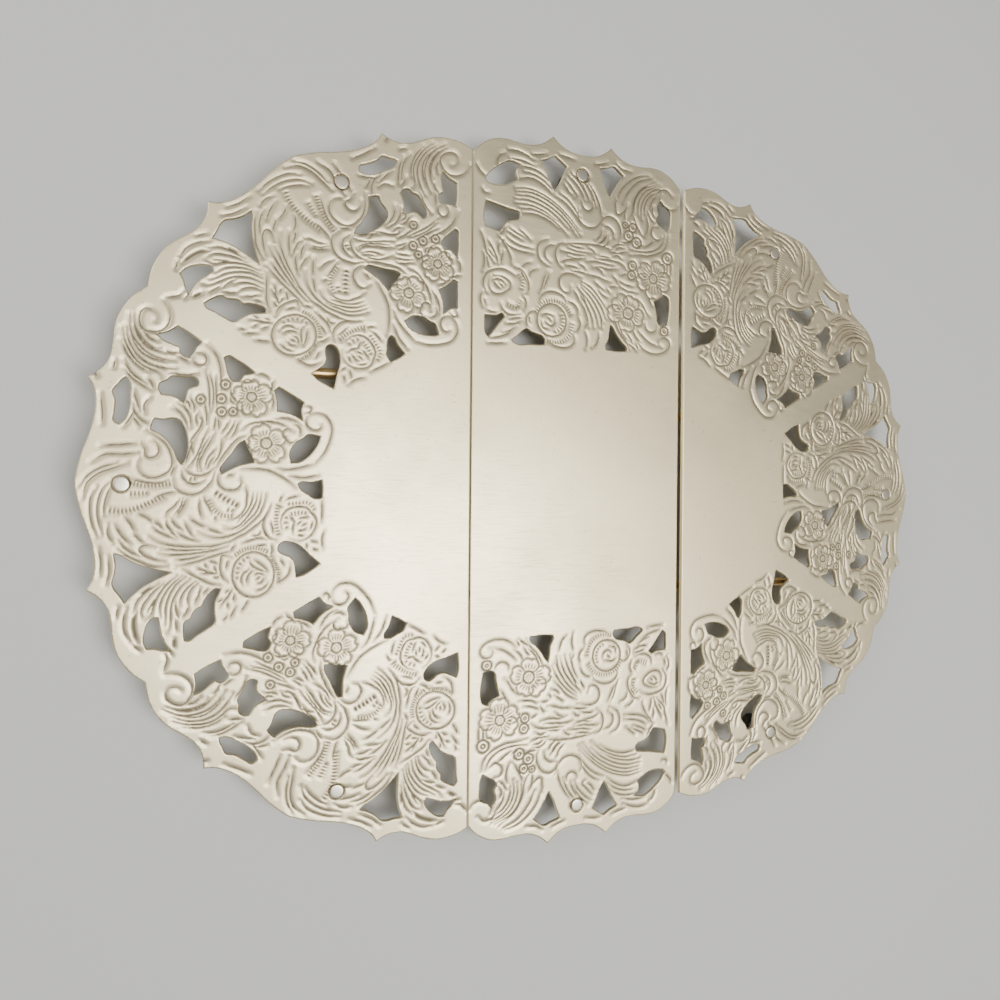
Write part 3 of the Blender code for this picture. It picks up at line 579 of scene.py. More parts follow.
# Stems and the scroll at the plain middle
SECTOR_STEMS = [
    [(44, -3.3), (48, -2.5), (52, -3)],
    [(45.6, -6.2), (49.3, -5.1), (52.7, -4.6), (55.1, -5.1)],
    [(50, 0.3), (52.5, -1.8), (55.1, -3.3), (57.2, -4.2), (60.8, -4.6), (64, -4.7)],
    [(45, -6.5), (42.5, -9.5), (41, -13), (40.5, -16.5), (41.3, -18.5), (42.5, -19.7), (45, -20.3),
     (46.7, -19.8)],
    [(43.5, -17.3), (43.4, -16.5), (44, -15.7), (45.4, -15.5), (46.9, -16.3), (47.5, -17.8),
     (47.1, -19.4)],
    [(47.5, -20), (46.3, -20.5), (46.2, -21.5), (47.3, -22.2)],
    [(50, -12.6), (51.4, -11.8), (52.7, -12.7), (53.5, -13.8), (53.1, -15.1), (51.8, -15.5),
     (50.6, -15)],
    [(49, -13.8), (49.1, -15.9), (50.4, -17.2)],
    [(51.6, -15.2), (52.9, -16.2), (54.5, -16.9), (57.2, -17.2), (59.8, -16.9), (62.5, -16.2),
     (64, -15)],
    [(48.8, -16.6), (50.5, -17.8), (53, -18.4), (55.5, -18.2)],
]

# Collar of the horn and the leaves that fall from it
SECTOR_COLLAR = [
    [(70.7, -3.5), (71.3, -1.2), (72.5, 0.4), (74.2, 1.9), (76.3, 2.4), (78.4, 2), (80, 0.9),
     (80.8, -1.7)],
    [(70.8, -4.8), (71.8, -3.5), (73.7, -2.6), (75.5, -2.5), (77.1, -3.3), (78.2, -4.8)],
    [(73.2, -1.2), (74.7, -0.4), (76.8, -0.5), (78.4, -2.2), (78.7, -3.8)],
    [(75.5, -1.2), (75.4, -2.2)],
    [(76.6, -0.9), (76.2, -2.2)],
    [(81.1, -2.5), (80.1, -4.6)],
    [(70.3, -4.8), (69.3, -6.7), (67.7, -9.1), (66.4, -10.9), (64.5, -12.7), (62.4, -13.5)],
    [(71.1, -5.6), (69.5, -8), (69.1, -9.8), (69, -12.7)],
    [(72.4, -4.3), (71.9, -5.6), (70.6, -7.7)],
    [(72.9, -4.6), (72.4, -6.7), (70.3, -9.8)],
    [(74, -3.8), (74.3, -5.6), (73.2, -8.5), (71.6, -11.7), (70.8, -13.8)],
    [(74.7, -3.8), (74.8, -5.9), (73.7, -9.1), (71.9, -12.7)],
    [(77.2, -4.6), (75.6, -6.4), (74.3, -9.3), (73.2, -12.5), (72.3, -14.8)],
    [(77.6, -5.6), (76.8, -8.5), (76, -11.2)],
    [(75.7, -8), (76.2, -10.1), (75.6, -11.7)],
    [(76.8, -10.6), (75.6, -12.7), (74.3, -14.8), (74, -16.4)],
    [(66.6, -12.7), (65.6, -14.3), (65.1, -15.9), (64.9, -16.9)],
    [(68.2, -12.7), (66.6, -14.8), (65.6, -17.2)],
    [(69, -13.8), (67.9, -15.4), (67.2, -16.9)],
    [(69.7, -14.8), (69.7, -16.4), (70.1, -17.5)],
    [(71, -14.5), (70.6, -16.2), (70.5, -18)],
    [(72.7, -15.9), (72.6, -18), (72.9, -19.8), (73.2, -21.7)],
    [(74, -14.8), (73.7, -16.9), (74.5, -18)],
    [(74.7, -15.4), (75.2, -17.2), (74.8, -18.8)],
    [(77.2, -14.8), (77.9, -16.9), (79.3, -18.8), (80.8, -19.8)],
    [(76.4, -14.8), (76.6, -17.5), (77.7, -19.6), (79.5, -21.2)],
    [(75.6, -19.1), (75.8, -20.9), (76.9, -22.7)],
    [(76.6, -19.8), (77, -21.2), (77.9, -21.9)],
]

# C-shaped scroll behind the horn
SECTOR_C_SCROLL = [
    [(87, -13.8), (85, -12.5), (82.5, -10.5), (81.2, -8), (80.8, -5.4), (81.3, -3.8), (82.9, -2.5),
     (84.7, -1.8), (86.6, -1.9), (87.9, -2.7), (88.7, -3.8), (88.9, -5.1), (88.3, -6.6)],
    [(88.2, -10.3), (87.2, -9), (86.8, -7), (85.2, -6.9), (84, -8), (84.2, -10), (85.5, -11.5)],
    [(88.3, -14.6), (90, -17)],
    [(80, 1.7), (82.9, 2.5), (85.3, 3.6)],
    [(81.6, -1.2), (83.7, -0.4), (86.3, -0.4), (88.9, -0.9), (91, -1.3)],
    [(86, -15.3), (88.3, -16.5), (89.6, -18.2), (90, -20.3)],
    [(89.6, -18.6), (90.8, -16), (92, -14.4)],
    [(87.2, -18), (87.3, -20), (86, -22)],
    [(88.3, -18.6), (89.2, -21.5), (89.8, -23.6)],
]

# Stalks and volute beside the lower strap
SECTOR_LOW_STALK = [
    [(69.2, -24.8), (69.2, -27.8), (69.4, -30.7), (70.4, -34), (72.5, -36.7)],
    [(70.2, -20.3), (70.4, -24.8), (70.6, -28.6)],
    [(71.3, -19.8), (71, -23.2), (71.3, -26.5), (72.3, -29)],
    [(71.9, -19), (72, -23.2), (72.3, -26.9), (73.3, -30.3)],
    [(75, -34.4), (73.5, -34), (72.8, -32.8), (73.1, -31.5), (74.6, -31.1), (76, -31.9), (76.4, -33.2)],
    [(65.4, -22.3), (66.7, -24), (66.7, -25.7)],
    [(77.1, -31.7), (78.3, -32.3), (79.6, -33)],
]

# Petals of the open flower beside the lower strap
SECTOR_LOW_FLOWER = [
    [(61.9, -18.8), (63.5, -19.1), (64, -20.4), (63.7, -22.2)],
    [(56.4, -20.9), (56, -22.5), (56.4, -23.8)],
    [(56.4, -25.3), (56.4, -27), (56.2, -28.2)],
    [(57, -28.6), (58.3, -29.6), (60.4, -29.8)],
    [(60.8, -27.8), (62.7, -27.3), (64.6, -27.5)],
    [(65.1, -18.5), (65.1, -20.9)],
    [(65.7, -21.6), (66.6, -22.2), (66.9, -23.3)],
]

# Fan of long leaves that sweeps down to the rim
SECTOR_LOW_FAN = [
    [(85.2, -24.4), (86, -26), (86.7, -26.8)],
    [(85.8, -23.8), (88.3, -25.3), (90.4, -26.9), (91.9, -29)],
    [(87, -25.5), (89.6, -27.3), (91.3, -29.4), (92, -31)],
    [(86.3, -28.4), (88.8, -29.8), (90.8, -32), (92.1, -34.4), (92.7, -36)],
    [(83.3, -26.3), (84.2, -28.4), (86.7, -29.4), (88.8, -30.7), (90.8, -33.6), (92, -36.5),
     (92.5, -39)],
    [(80.2, -29.6), (83.8, -29.8), (86.7, -30.7), (88.8, -32.3), (90.4, -34.8), (91.3, -37.3),
     (91.5, -39.8)],
    [(80.4, -31.7), (84.2, -32.1), (86.7, -33.2), (88.8, -35.3), (90.4, -38.2), (90.8, -40.7),
     (90.8, -42.5)],
    [(82.5, -31.3), (85.4, -31.9), (87.9, -33.2), (89.6, -35.3), (90.6, -37.7)],
    [(83.8, -34.4), (85.8, -34.8), (87.9, -36.7), (89.4, -39.4), (90, -42.3)],
    [(82.5, -33.6), (84.6, -34), (86.7, -34.8), (88.8, -37.3), (90, -39.8)],
    [(84.4, -36.3), (86.3, -37.1), (87.5, -38.6)],
    [(79.6, -33.8), (81, -33.6), (82.5, -34)],
    [(75, -28.9), (77.1, -28.3), (79.2, -28.3), (81.3, -28.7)],
]

# Curl where the strap meets the rim
SECTOR_CORNER_CURL = [
    [(82.9, -46.9), (81.9, -45), (81.5, -43.2), (81.9, -40.9), (83.3, -39.2), (85.4, -38.6),
     (87.5, -39), (88.5, -40.7), (88.5, -42.3), (87.9, -43.8), (86.7, -44.5), (85.4, -44),
     (84.7, -42.5), (84.8, -41.5)],
]


# ---------------------------------------------------------------- chasing

class Relief:
    """The worked surface over a rectangle: how deep lines are cut, and how near the next one is."""

    def __init__(self, left, right, low, high):
        self.left = left
        self.low = low
        shape = (int((high - low) / CELL) + 2, int((right - left) / CELL) + 2)
        self.line = np.zeros(shape, np.float32)
        self.near = np.full(shape, REACH, np.float32)
        self.centres = []

    def cut(self, points, width=0.29, depth=0.15, fade=(0.5, 0.35), closed=False):
        """Chase a line through the points; it thins to the fade shares at its two ends."""
        path = curve_through(points, closed=closed)
        share = np.linspace(0.0, 1.0, len(path))
        full = np.minimum(1.0, np.minimum(
            fade[0] + (1 - fade[0]) * share * 5, fade[1] + (1 - fade[1]) * (1 - share) * 4))
        if closed:
            full = np.ones(len(path))
        self.centres.append(path[::2])
        span = int(REACH / CELL)
        steps = np.arange(-span, span + 1) * CELL
        for (x, y), size in zip(path, full):
            column = int(round((x - self.left) / CELL))
            row = int(round((y - self.low) / CELL))
            rows = slice(row - span, row + span + 1)
            columns = slice(column - span, column + span + 1)
            near = self.near[rows, columns]
            if row < span or column < span or near.shape != (len(steps), len(steps)):
                continue
            dx = steps + (column * CELL + self.left - x)
            dy = steps + (row * CELL + self.low - y)
            gap = np.hypot(dx[None, :], dy[:, None]).astype(np.float32)
            np.minimum(near, gap, out=near)
            deep = depth * size * np.clip(1 - (gap / (width * size)) ** 2, 0, 1)
            line = self.line[rows, columns]
            np.maximum(line, deep, out=line)

    def read(self, field, points):
        """The field's values at points, between its cells."""
        u = np.clip((points[:, 0] - self.left) / CELL, 0, field.shape[1] - 2)
        v = np.clip((points[:, 1] - self.low) / CELL, 0, field.shape[0] - 2)
        i, j = u.astype(int), v.astype(int)
        fu, fv = u - i, v - j
        lower = field[j, i] * (1 - fu) + field[j, i + 1] * fu
        upper = field[j + 1, i] * (1 - fu) + field[j + 1, i + 1] * fu
        return lower * (1 - fv) + upper * fv

    def ring(self, x, y, radius, **how):
        self.cut(oval(x, y, radius, radius), closed=True, **how)

    def berry(self, x, y, radius):
        self.ring(x, y, radius, width=0.36, depth=0.15)
        self.ring(x, y, radius * 0.3)

    def flower(self, x, y, petals, disc=1.4):
        """An open flower: a ribbed disc and petals given by (angle, reach, half-width)."""
        self.ring(x, y, disc, width=0.36)
        for angle, reach, half in petals:
            petal = [
                (disc * 0.9, 0.35 * half), (0.42 * reach, 0.95 * half), (0.78 * reach, half),
                (reach, 0.3 * half), (reach * 0.94, -0.1 * half), (reach, -0.45 * half),
                (0.76 * reach, -half), (0.42 * reach, -0.9 * half), (disc * 0.9, -0.35 * half),
            ]
            self.cut(turned_points(petal, angle) + (x, y), width=0.3, depth=0.13, fade=(0.6, 0.6))
            for off in (-0.6, -0.2, 0.2, 0.6):
                vein = [(disc * 1.5, off * half * 0.7), (0.64 * reach * (1.08 - 0.2 * abs(off)), off * half)]
                self.cut(turned_points(vein, angle) + (x, y), width=0.26, depth=0.12, fade=(0.8, 0.5))
        for angle in range(0, 360, 45):
            self.cut(turned_points([(0.25, 0), (disc * 0.8, 0)], angle) + (x, y), width=0.22, depth=0.07)

    def lines(self, groups, **how):
        for group in groups:
            for points in group:
                self.cut(points, **how)

    def ticks(self, points, length, gap=0.85, lean=0.0, width=0.28, depth=0.14):
        """Short strokes across a curve, gap apart; lean is in degrees from square."""
        path = curve_through(points, step=0.1)
        count = max(2, int(round(len(path) * 0.1 / gap)))
        index = np.linspace(1, len(path) - 2, count).astype(int)
        along = path[index + 1] - path[index - 1]
        along /= np.hypot(*along.T)[:, None]
        across = turned_points(along, 90 + lean) * length / 2
        for middle, half in zip(path[index], across):
            self.cut([middle - half, middle + half], width=width, depth=depth, fade=(0.8, 0.6))


def oval(x, y, wide, deep, start=0.0, end=None):
    """Points of an oval round (x, y), or of its part from start to end degrees."""
    if end is None:
        angles = np.arange(OVAL_POINTS) * 2 * math.pi / OVAL_POINTS
    else:
        angles = np.radians(np.linspace(start, end, max(4, int(abs(end - start) / ARC_POINT_EVERY))))
    return np.stack([x + wide * np.cos(angles), y + deep * np.sin(angles)], 1)


def chase_sector():
    """The work on one sector of an end leaf; +X is its middle line, from the seam's mid-point."""
    relief = Relief(left=34.0, right=108.0, low=-60.0, high=60.0)
    relief.lines([
        SECTOR_ROSE_OUTER, SECTOR_SPEARS, SECTOR_PLUME, SECTOR_BUNDLE, SECTOR_RIM, SECTOR_ARCS,
        SECTOR_ROSE_INNER, SECTOR_STEMS, SECTOR_COLLAR, SECTOR_C_SCROLL, SECTOR_LOW_STALK,
        SECTOR_LOW_FLOWER, SECTOR_LOW_FAN, SECTOR_CORNER_CURL,
    ])
    # Two broad marks inside the plume
    relief.cut([(88.5, 39.8), (89.2, 37.3), (89.4, 34.4), (88.6, 32)], width=0.62)
    relief.cut([(80, 41.5), (80, 39.4)], width=0.6)
    # Outer rose: bowl, rows of ticks round it
    relief.cut(oval(60.8, 23.5, 5.3, 6.0), closed=True)
    petal_edge = [(54.5, 25.7), (54.5, 24.1), (54.8, 22.3), (55.6, 20.4), (56.4, 18.8)]
    relief.ticks(petal_edge, 0.9, gap=0.6, lean=-20)
    relief.ticks([(57.4, 17.5), (59.3, 16.7), (61.4, 16.5), (63.5, 17), (65.3, 18.3)], 0.9, gap=0.65)
    relief.ticks(oval(60.8, 23.5, 4.2, 4.9, -70, 10), 0.7, gap=1.1)
    # Inner rose
    relief.ticks([(47.4, 7.2), (49.3, 7.1), (51.2, 7.6)], 0.9)
    relief.ticks([(54.6, 12.9), (55.1, 10.5), (55.1, 8), (54.9, 5.8)], 1.0, gap=0.8)
    relief.ticks([(52.4, 11.2), (52.7, 9.7), (52.5, 8.3)], 0.7, gap=0.9)
    relief.ticks([(45.2, 6.2), (46.5, 4.6), (49.3, 4.5), (51.9, 4.8)], 0.7)
    # Open flowers
    petals = [(134, 5.6, 2.2), (62, 5.4, 2.1), (0, 4.6, 2.0), (-66, 5.2, 2.4), (-150, 5.2, 2.1)]
    relief.flower(57.8, -11.4, petals)
    petals = [(120, 5.2, 2.1), (58, 4.8, 2.0), (-12, 4.8, 2.0), (-84, 4.6, 2.1), (-160, 5.4, 2.3)]
    relief.flower(61.6, -23.5, petals, disc=1.2)
    # Ticks on the shell round the big volute, toothed ribs behind the collar
    relief.ticks([(65.1, 5.2), (67.5, 3.9), (70.3, 2)], 0.8, gap=1.0, width=0.4, depth=0.18)
    relief.ticks([(66.3, 8), (68.6, 7.9), (70.8, 6.4), (72.2, 4)], 0.8, gap=0.8)
    relief.ticks([(82.8, 3.1), (86.1, 4.8), (89.2, 6.2), (92.9, 6.9), (95, 6.7)], 1.0, gap=0.85, width=0.36)
    relief.ticks([(86.6, 2.3), (90.3, 2.5)], 0.7, gap=0.8)
    relief.ticks([(81.2, -0.2), (84.7, 0.3), (87.4, 0.3), (91.2, -0.4)], 1.0, gap=0.8, width=0.36)
    # Berries
    berries = [(66.2, -19.4, 1.05), (69, -19.2, 1.2), (69.1, -22.6, 1.2), (68.1, -26.4, 1.2),
               (74.1, -22.2, 1.1)]
    for x, y, radius in berries:
        relief.berry(x, y, radius)
    return relief


def chase_panel():
    """The work on the centre leaf's rear panel, in the mat's own X and Y."""
    relief = Relief(left=-42.0, right=42.0, low=36.0, high=114.0)
    relief.lines([
        PANEL_RIM, PANEL_LEFT_PLUME, PANEL_SCROLLS, PANEL_RIGHT_PLUME, PANEL_S_SCROLL, PANEL_SPEARS,
        PANEL_ROSE_LEFT, PANEL_ROSE_MIDDLE, PANEL_HORN, PANEL_STALK, PANEL_FOOT,
    ])
    # Left rose, and the rows of ticks in its petals
    relief.ticks([(-21.6, 65.6), (-20.2, 63.4), (-20.6, 61.2)], 1.0)
    relief.ticks([(-20.8, 57.6), (-22.4, 55.6), (-25.2, 56.2)], 1.0)
    # Middle rose
    relief.ring(-10.3, 52.8, 5.0)
    relief.ticks(oval(-10.3, 52.8, 3.9, 3.9, -70, 30), 0.7, gap=1.0)
    relief.ticks(oval(-9.6, 52.3, 6.5, 6.5, 25, 160), 1.1)
    relief.ticks(oval(-9.6, 52.3, 6.3, 6.3, -110, 0), 1.0)
    # Open flowers
    petals = [(146.6, 6.4, 2.6), (63, 6.3, 2.5), (-8, 6.6, 3.0), (-88, 6.6, 2.9), (199.6, 6.4, 2.6)]
    relief.flower(26.6, 69.9, petals, disc=1.5)
    petals = [(133, 6.8, 3.0), (70, 5.8, 2.8), (-14, 6.0, 2.6), (-99, 5.8, 2.8), (184, 7.5, 2.6)]
    relief.flower(17.1, 57.6, petals, disc=1.8)
    # Ring pressed round the foot's rivet
    relief.ring(0.8, 99.0, 1.6)
    # Berries
    berries = [(15.8, 86, 1.0), (18.6, 85.5, 1.4), (17.1, 82.7, 1.7), (20.1, 80.9, 1.7), (18.6, 73.2, 1.5),
               (18.3, 70.1, 1.4), (32, 77.2, 1.9), (31, 53, 1.5)]
    for x, y, radius in berries:
        relief.berry(x, y, radius)
    return relief


# ---------------------------------------------------------------- leaf meshes

def left_normals(loop):
    along = np.roll(loop, -1, 0) - np.roll(loop, 1, 0)
    along /= np.hypot(*along.T)[:, None]
    return np.stack([-along[:, 1], along[:, 0]], 1)


def triangulated(loops, extra):
    """Triangles of the region that loops bound, through its own points and the extra ones."""
    points = np.vstack(loops + [extra])
    edges = []
    start = 0
    for loop in loops:
        ring = list(range(start, start + len(loop)))
        edges += list(zip(ring, ring[1:] + ring[:1]))
        start += len(loop)
    vectors = [Vector(point) for point in points.tolist()]
    _, _, faces, origins, _, _ = delaunay_2d_cdt(vectors, edges, [], 0, SAME_POINT, True)
    if not all(origins):
        raise ValueError("an outline crosses itself")
    faces = np.array([min(origin) for origin in origins])[np.array(faces)]
    doubtful = (faces < start).all(1)
    keep = ~doubtful
    corners = points[faces[doubtful]]
    (x1, y1), (x2, y2) = (corners[:, 1] - corners[:, 0]).T, (corners[:, 2] - corners[:, 0]).T
    keep[doubtful] = inside(corners.mean(1), loops) & (abs(x1 * y2 - x2 * y1) > SLIVER)
    return points, faces[keep]


def lattice(loops, step):
    """Points of a triangular lattice over the loops' box."""
    low = np.min([loop.min(0) for loop in loops], 0)
    high = np.max([loop.max(0) for loop in loops], 0)
    start = low + LATTICE_SHIFT * step
    rows = np.arange(start[1], high[1], step * math.sqrt(3) / 2)
    columns = np.arange(start[0], high[0], step)
    x, y = np.meshgrid(columns, rows)
    x = x + (np.arange(len(rows)) % 2)[:, None] * step / 2
    return np.stack([x.ravel(), y.ravel()], 1)


def thinned(points, cell):
    """One of the points in each square cell."""
    _, first = np.unique(np.round(points / cell).astype(np.int64), axis=0, return_index=True)
    return points[np.sort(first)]


def edge_drop(gap):
    """How far the rounded upper edge lies below the face, at a distance from the outline."""
    return EDGE_ROUND * np.clip(1 - gap / EDGE_ROUND, 0, 1) ** 1.5


def patch(loops, real, step, relief=None):
    """A piece of a leaf's face. real is the outlines that are true edges, which get rounded over."""
    rows = (EDGE_ROUND,) if relief is not None else (EDGE_ROUND, 2 * EDGE_ROUND)
    inset = np.vstack([loop + left_normals(loop) * row for row in rows for loop in loops])
    field = lattice(loops, step)
    if relief is not None:
        centres = thinned(np.vstack(relief.centres), LINE_POINT_CELL * step)
        field = field[relief.read(relief.near, field) > LINE_CLEARANCE * step]
        field = np.vstack([centres, field])
    inset = inset[inside(inset, loops)]
    inset = inset[edge_distance(inset, loops, EDGE_BAND) > 0.72 * EDGE_ROUND]
    field = field[inside(field, loops)]
    field = field[edge_distance(field, loops, EDGE_BAND) > 0.8 * EDGE_STEP]
    points = np.vstack([inset, field])
    places, faces = triangulated(loops, points)
    drop = edge_drop(edge_distance(places, real, EDGE_BAND)) if real else np.zeros(len(places))
    line = np.zeros(len(places))
    work = np.zeros(len(places))
    if relief is not None:
        line = relief.read(relief.line, places)
        near = relief.read(relief.near, places) / REACH
        # work rises near the chased lines: it presses the sheet down, and the silver material darkens there
        # too, partly as painted shade.
        work = 1 - near * near * (3 - 2 * near)
        drop = drop + line + SWELL * work
    return {"xy": places, "faces": faces, "drop": drop, "line": line, "work": work}


def moved(piece, degrees, shift):
    copy = dict(piece)
    copy["xy"] = turned_points(piece["xy"], degrees) + shift
    return copy


def joined(pieces):
    """One face from patches whose shared edges have the same points."""
    start = 0
    faces = []
    for piece in pieces:
        faces.append(piece["faces"] + start)
        start += len(piece["xy"])
    fields = {key: np.concatenate([piece[key] for piece in pieces]) for key in ("xy", "drop", "line", "work")}
    keys = np.round(fields["xy"] * 1000).astype(np.int64)
    _, first, same = np.unique(keys, axis=0, return_index=True, return_inverse=True)
    same = same.reshape(-1)
    result = {key: value[first] for key, value in fields.items()}
    result["faces"] = same[np.vstack(faces)]
    return result


def boundary_rings(faces):
    """The edges that only one triangle has, chained into rings."""
    a = np.concatenate([faces[:, 0], faces[:, 1], faces[:, 2]])
    b = np.concatenate([faces[:, 1], faces[:, 2], faces[:, 0]])
    size = int(faces.max()) + 1
    single = ~np.isin(a * size + b, b * size + a)
    after = dict(zip(a[single].tolist(), b[single].tolist()))
    rings = []
    while after:
        start, here = after.popitem()
        ring = [start]
        while here != start:
            ring.append(here)
            here = after.pop(here)
        rings.append(ring)
    return rings


def solid_sheet(name, face, low, high, material):
    """A closed sheet, low and high in metres, with the worked face on top."""
    count = len(face["xy"])
    rings = boundary_rings(face["faces"])
    rim = [vertex for ring in rings for vertex in ring]
    under_xy = face["xy"][rim]
    _, under_faces = triangulated([face["xy"][ring] for ring in rings], np.zeros((0, 2)))
    top = np.column_stack([face["xy"] * MM, high - face["drop"] * MM])
    bottom = np.column_stack([under_xy * MM, np.full(len(under_xy), low)])
    faces = face["faces"].tolist()
    start = count
    for ring in rings:
        size = len(ring)
        for i, vertex in enumerate(ring):
            j = (i + 1) % size
            faces.append((ring[j], vertex, start + i, start + j))
        start += size
    faces += (under_faces[:, ::-1] + count).tolist()
    mesh = bpy.data.meshes.new(name)
    mesh.from_pydata(np.vstack([top, bottom]).tolist(), [], faces)
    for key in ("line", "work"):
        layer = mesh.attributes.new(key, "FLOAT", "POINT")
        layer.data.foreach_set("value", np.r_[face[key], np.zeros(len(under_xy))].astype(np.float32))
    mesh.materials.append(material)
    mesh.shade_smooth()
    mesh.set_sharp_from_angle(angle=math.radians(50))
    piece = bpy.data.objects.new(name, mesh)
    bpy.context.scene.collection.objects.link(piece)
    return piece


def end_leaf_face():
    """The left end leaf's face in mm, from the frame's outlines, with its seam's edge rounded over."""
    outer, *holes = upper_outlines("left_leaf")
    seam = outer[:, 0].max()
    centre = np.array([seam, 0.0])
    half = SECTOR_ANGLE / 2
    rim = turned_points(outer - centre, 180)
    angle = np.degrees(np.arctan2(rim[:, 1], rim[:, 0]))
    rim = rim[(abs(angle) < half - 0.2) & (np.hypot(*rim.T) > PLAIN_RADIUS)]
    rim = rim[np.argsort(np.arctan2(rim[:, 1], rim[:, 0]))]
    corner = np.hypot(*(outer - centre)[np.argmin(abs(outer[:, 0] - seam) - abs(outer[:, 1]))])
    low_notch = turned_points([(corner, 0.0)], -half)
    high_notch = turned_points([(corner, 0.0)], half)
    rim_curve = curve_through(np.vstack([low_notch, rim, high_notch]), step=EDGE_STEP, corner=CORNER_TURN)
    radii = np.linspace(PLAIN_RADIUS, corner, int((corner - PLAIN_RADIUS) / FACE_STEP))[:-1]
    ray = np.column_stack([radii, np.zeros(len(radii))])
    arc_steps = int(PLAIN_RADIUS * math.radians(2 * half) / FACE_STEP)
    arc = np.vstack([turned_points([(PLAIN_RADIUS, 0.0)], half - 2 * half * i / arc_steps)
                     for i in range(1, arc_steps)])
    outline = np.vstack([turned_points(ray, -half), rim_curve, turned_points(ray, half)[::-1], arc])
    relief = chase_sector()
    pieces = []
    for turn in (180 - SECTOR_ANGLE, 180, 180 + SECTOR_ANGLE):
        sector_holes = []
        for hole in holes:
            local = turned_points(hole - centre, -turn)
            middle = local.mean(0)
            if abs(math.degrees(math.atan2(middle[1], middle[0]))) < half:
                sector_holes.append(curve_through(local, closed=True, step=EDGE_STEP, corner=CORNER_TURN))
        sector = patch([outline] + sector_holes, [rim_curve] + sector_holes, FACE_STEP, relief)
        pieces.append(moved(sector, turn, centre))
    arc_angles = np.radians(90 + np.arange(3 * arc_steps + 1) * 2 * half / arc_steps)
    arc_all = PLAIN_RADIUS * np.column_stack([np.cos(arc_angles), np.sin(arc_angles)])
    seam_y = np.linspace(-PLAIN_RADIUS, PLAIN_RADIUS, int(2 * PLAIN_RADIUS / FACE_STEP))[1:-1]
    seam_line = np.column_stack([np.zeros(len(seam_y)), seam_y])
    plain = patch([np.vstack([arc_all, seam_line])], [], PLAIN_STEP)
    pieces.append(moved(plain, 0, centre))
    face = joined(pieces)
    face["drop"] = face["drop"] + edge_drop(seam - face["xy"][:, 0])
    return face


def centre_leaf_face():
    outer, *holes = upper_outlines("centre_leaf")
    half = outer[:, 0].max()
    corner = outer[abs(outer[:, 0] - half) < 0.01][:, 1].max()
    rim = outer[outer[:, 1] > corner - 0.01]
    rim = rim[np.argsort(-rim[:, 0])]
    rim_curve = curve_through(rim, step=EDGE_STEP, corner=CORNER_TURN)
    side_y = np.linspace(PLAIN_HALF, corner, int((corner - PLAIN_HALF) / FACE_STEP))[:-1]
    right = np.column_stack([np.full(len(side_y), half), side_y])
    left = np.column_stack([np.full(len(side_y), -half), side_y])[::-1]
    low_x = np.linspace(-half, half, int(2 * half / FACE_STEP))[1:-1]
    low_line = np.column_stack([low_x, np.full(len(low_x), PLAIN_HALF)])
    outline = np.vstack([right, rim_curve, left, low_line])
    panel_holes = [curve_through(hole, closed=True, step=EDGE_STEP, corner=CORNER_TURN)
                   for hole in holes if hole[:, 1].mean() > 0]
    panel = patch([outline] + panel_holes, [rim_curve] + panel_holes, FACE_STEP, chase_panel())
    mid_y = np.linspace(-PLAIN_HALF, PLAIN_HALF, int(2 * PLAIN_HALF / FACE_STEP))[1:-1]
    box = np.vstack([
        low_line * (1, -1), [(half, -PLAIN_HALF)],
        np.column_stack([np.full(len(mid_y), half), mid_y]), [(half, PLAIN_HALF)],
        low_line[::-1], [(-half, PLAIN_HALF)],
        np.column_stack([np.full(len(mid_y), -half), mid_y])[::-1], [(-half, -PLAIN_HALF)],
    ])
    middle = patch([box], [], PLAIN_STEP)
    face = joined([panel, moved(panel, 180, 0.0), middle])
    face["drop"] = face["drop"] + edge_drop(half - abs(face["xy"][:, 0]))
    return face


# ---------------------------------------------------------------- turned and bored pieces

def new_piece(name, vertices, faces, material, body, node, sharp=35):
    """A piece that stands for a CAD node and rides on its body; vertices are in metres."""
    mesh = bpy.data.meshes.new(name)
    mesh.from_pydata([tuple(v) for v in vertices], [], faces)
    mesh.materials.append(material)
    mesh.shade_smooth()
    mesh.set_sharp_from_angle(angle=math.radians(sharp))
    piece = bpy.data.objects.new(name, mesh)
    bpy.context.scene.collection.objects.link(piece)
    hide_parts(node)
    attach(piece, body)
    return piece


def lathe(profile, place, steps=ROUND):
    """Vertices and faces of a body turned from (radius, height) points, top to bottom, in mm."""
    vertices = []
    faces = []
    rows = []
    for radius, height in profile:
        if radius == 0.0:
            rows.append([len(vertices)] * steps)
            vertices.append(place(0.0, 0.0, height))
            continue
        rows.append(list(range(len(vertices), len(vertices) + steps)))
        for step in range(steps):
            angle = 2 * math.pi * step / steps
            vertices.append(place(radius * math.cos(angle), radius * math.sin(angle), height))
    for upper, lower in zip(rows, rows[1:]):
        for step in range(steps):
            after = (step + 1) % steps
            corners = (upper[step], lower[step], lower[after], upper[after])
            faces.append(tuple(dict.fromkeys(corners)))
    return vertices, faces


def rounded(profile, radius, steps=4):
    """The profile with each inner corner rounded off by up to the radius."""
    p = np.array(profile, float)
    rows = [p[0]]
    for before, here, after in zip(p, p[1:], p[2:]):
        into, out = before - here, after - here
        size = min(radius, 0.45 * np.hypot(*into), 0.45 * np.hypot(*out))
        a = here + into / np.hypot(*into) * size
        b = here + out / np.hypot(*out) * size
        for step in range(steps + 1):
            t = step / steps
            rows.append((1 - t) ** 2 * a + 2 * t * (1 - t) * here + t * t * b)
    rows.append(p[-1])
    return [tuple(row) for row in rows]


def body_of(node):
    return frame["nodes"][node]["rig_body"]


def middle_of(node):
    low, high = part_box(node)
    return (low + high) / 2


# Bores, as radii in mm
COLLAR_BORE = 1.55
ANCHOR_BORE = 1.55
GUIDE_BORE = 1.6

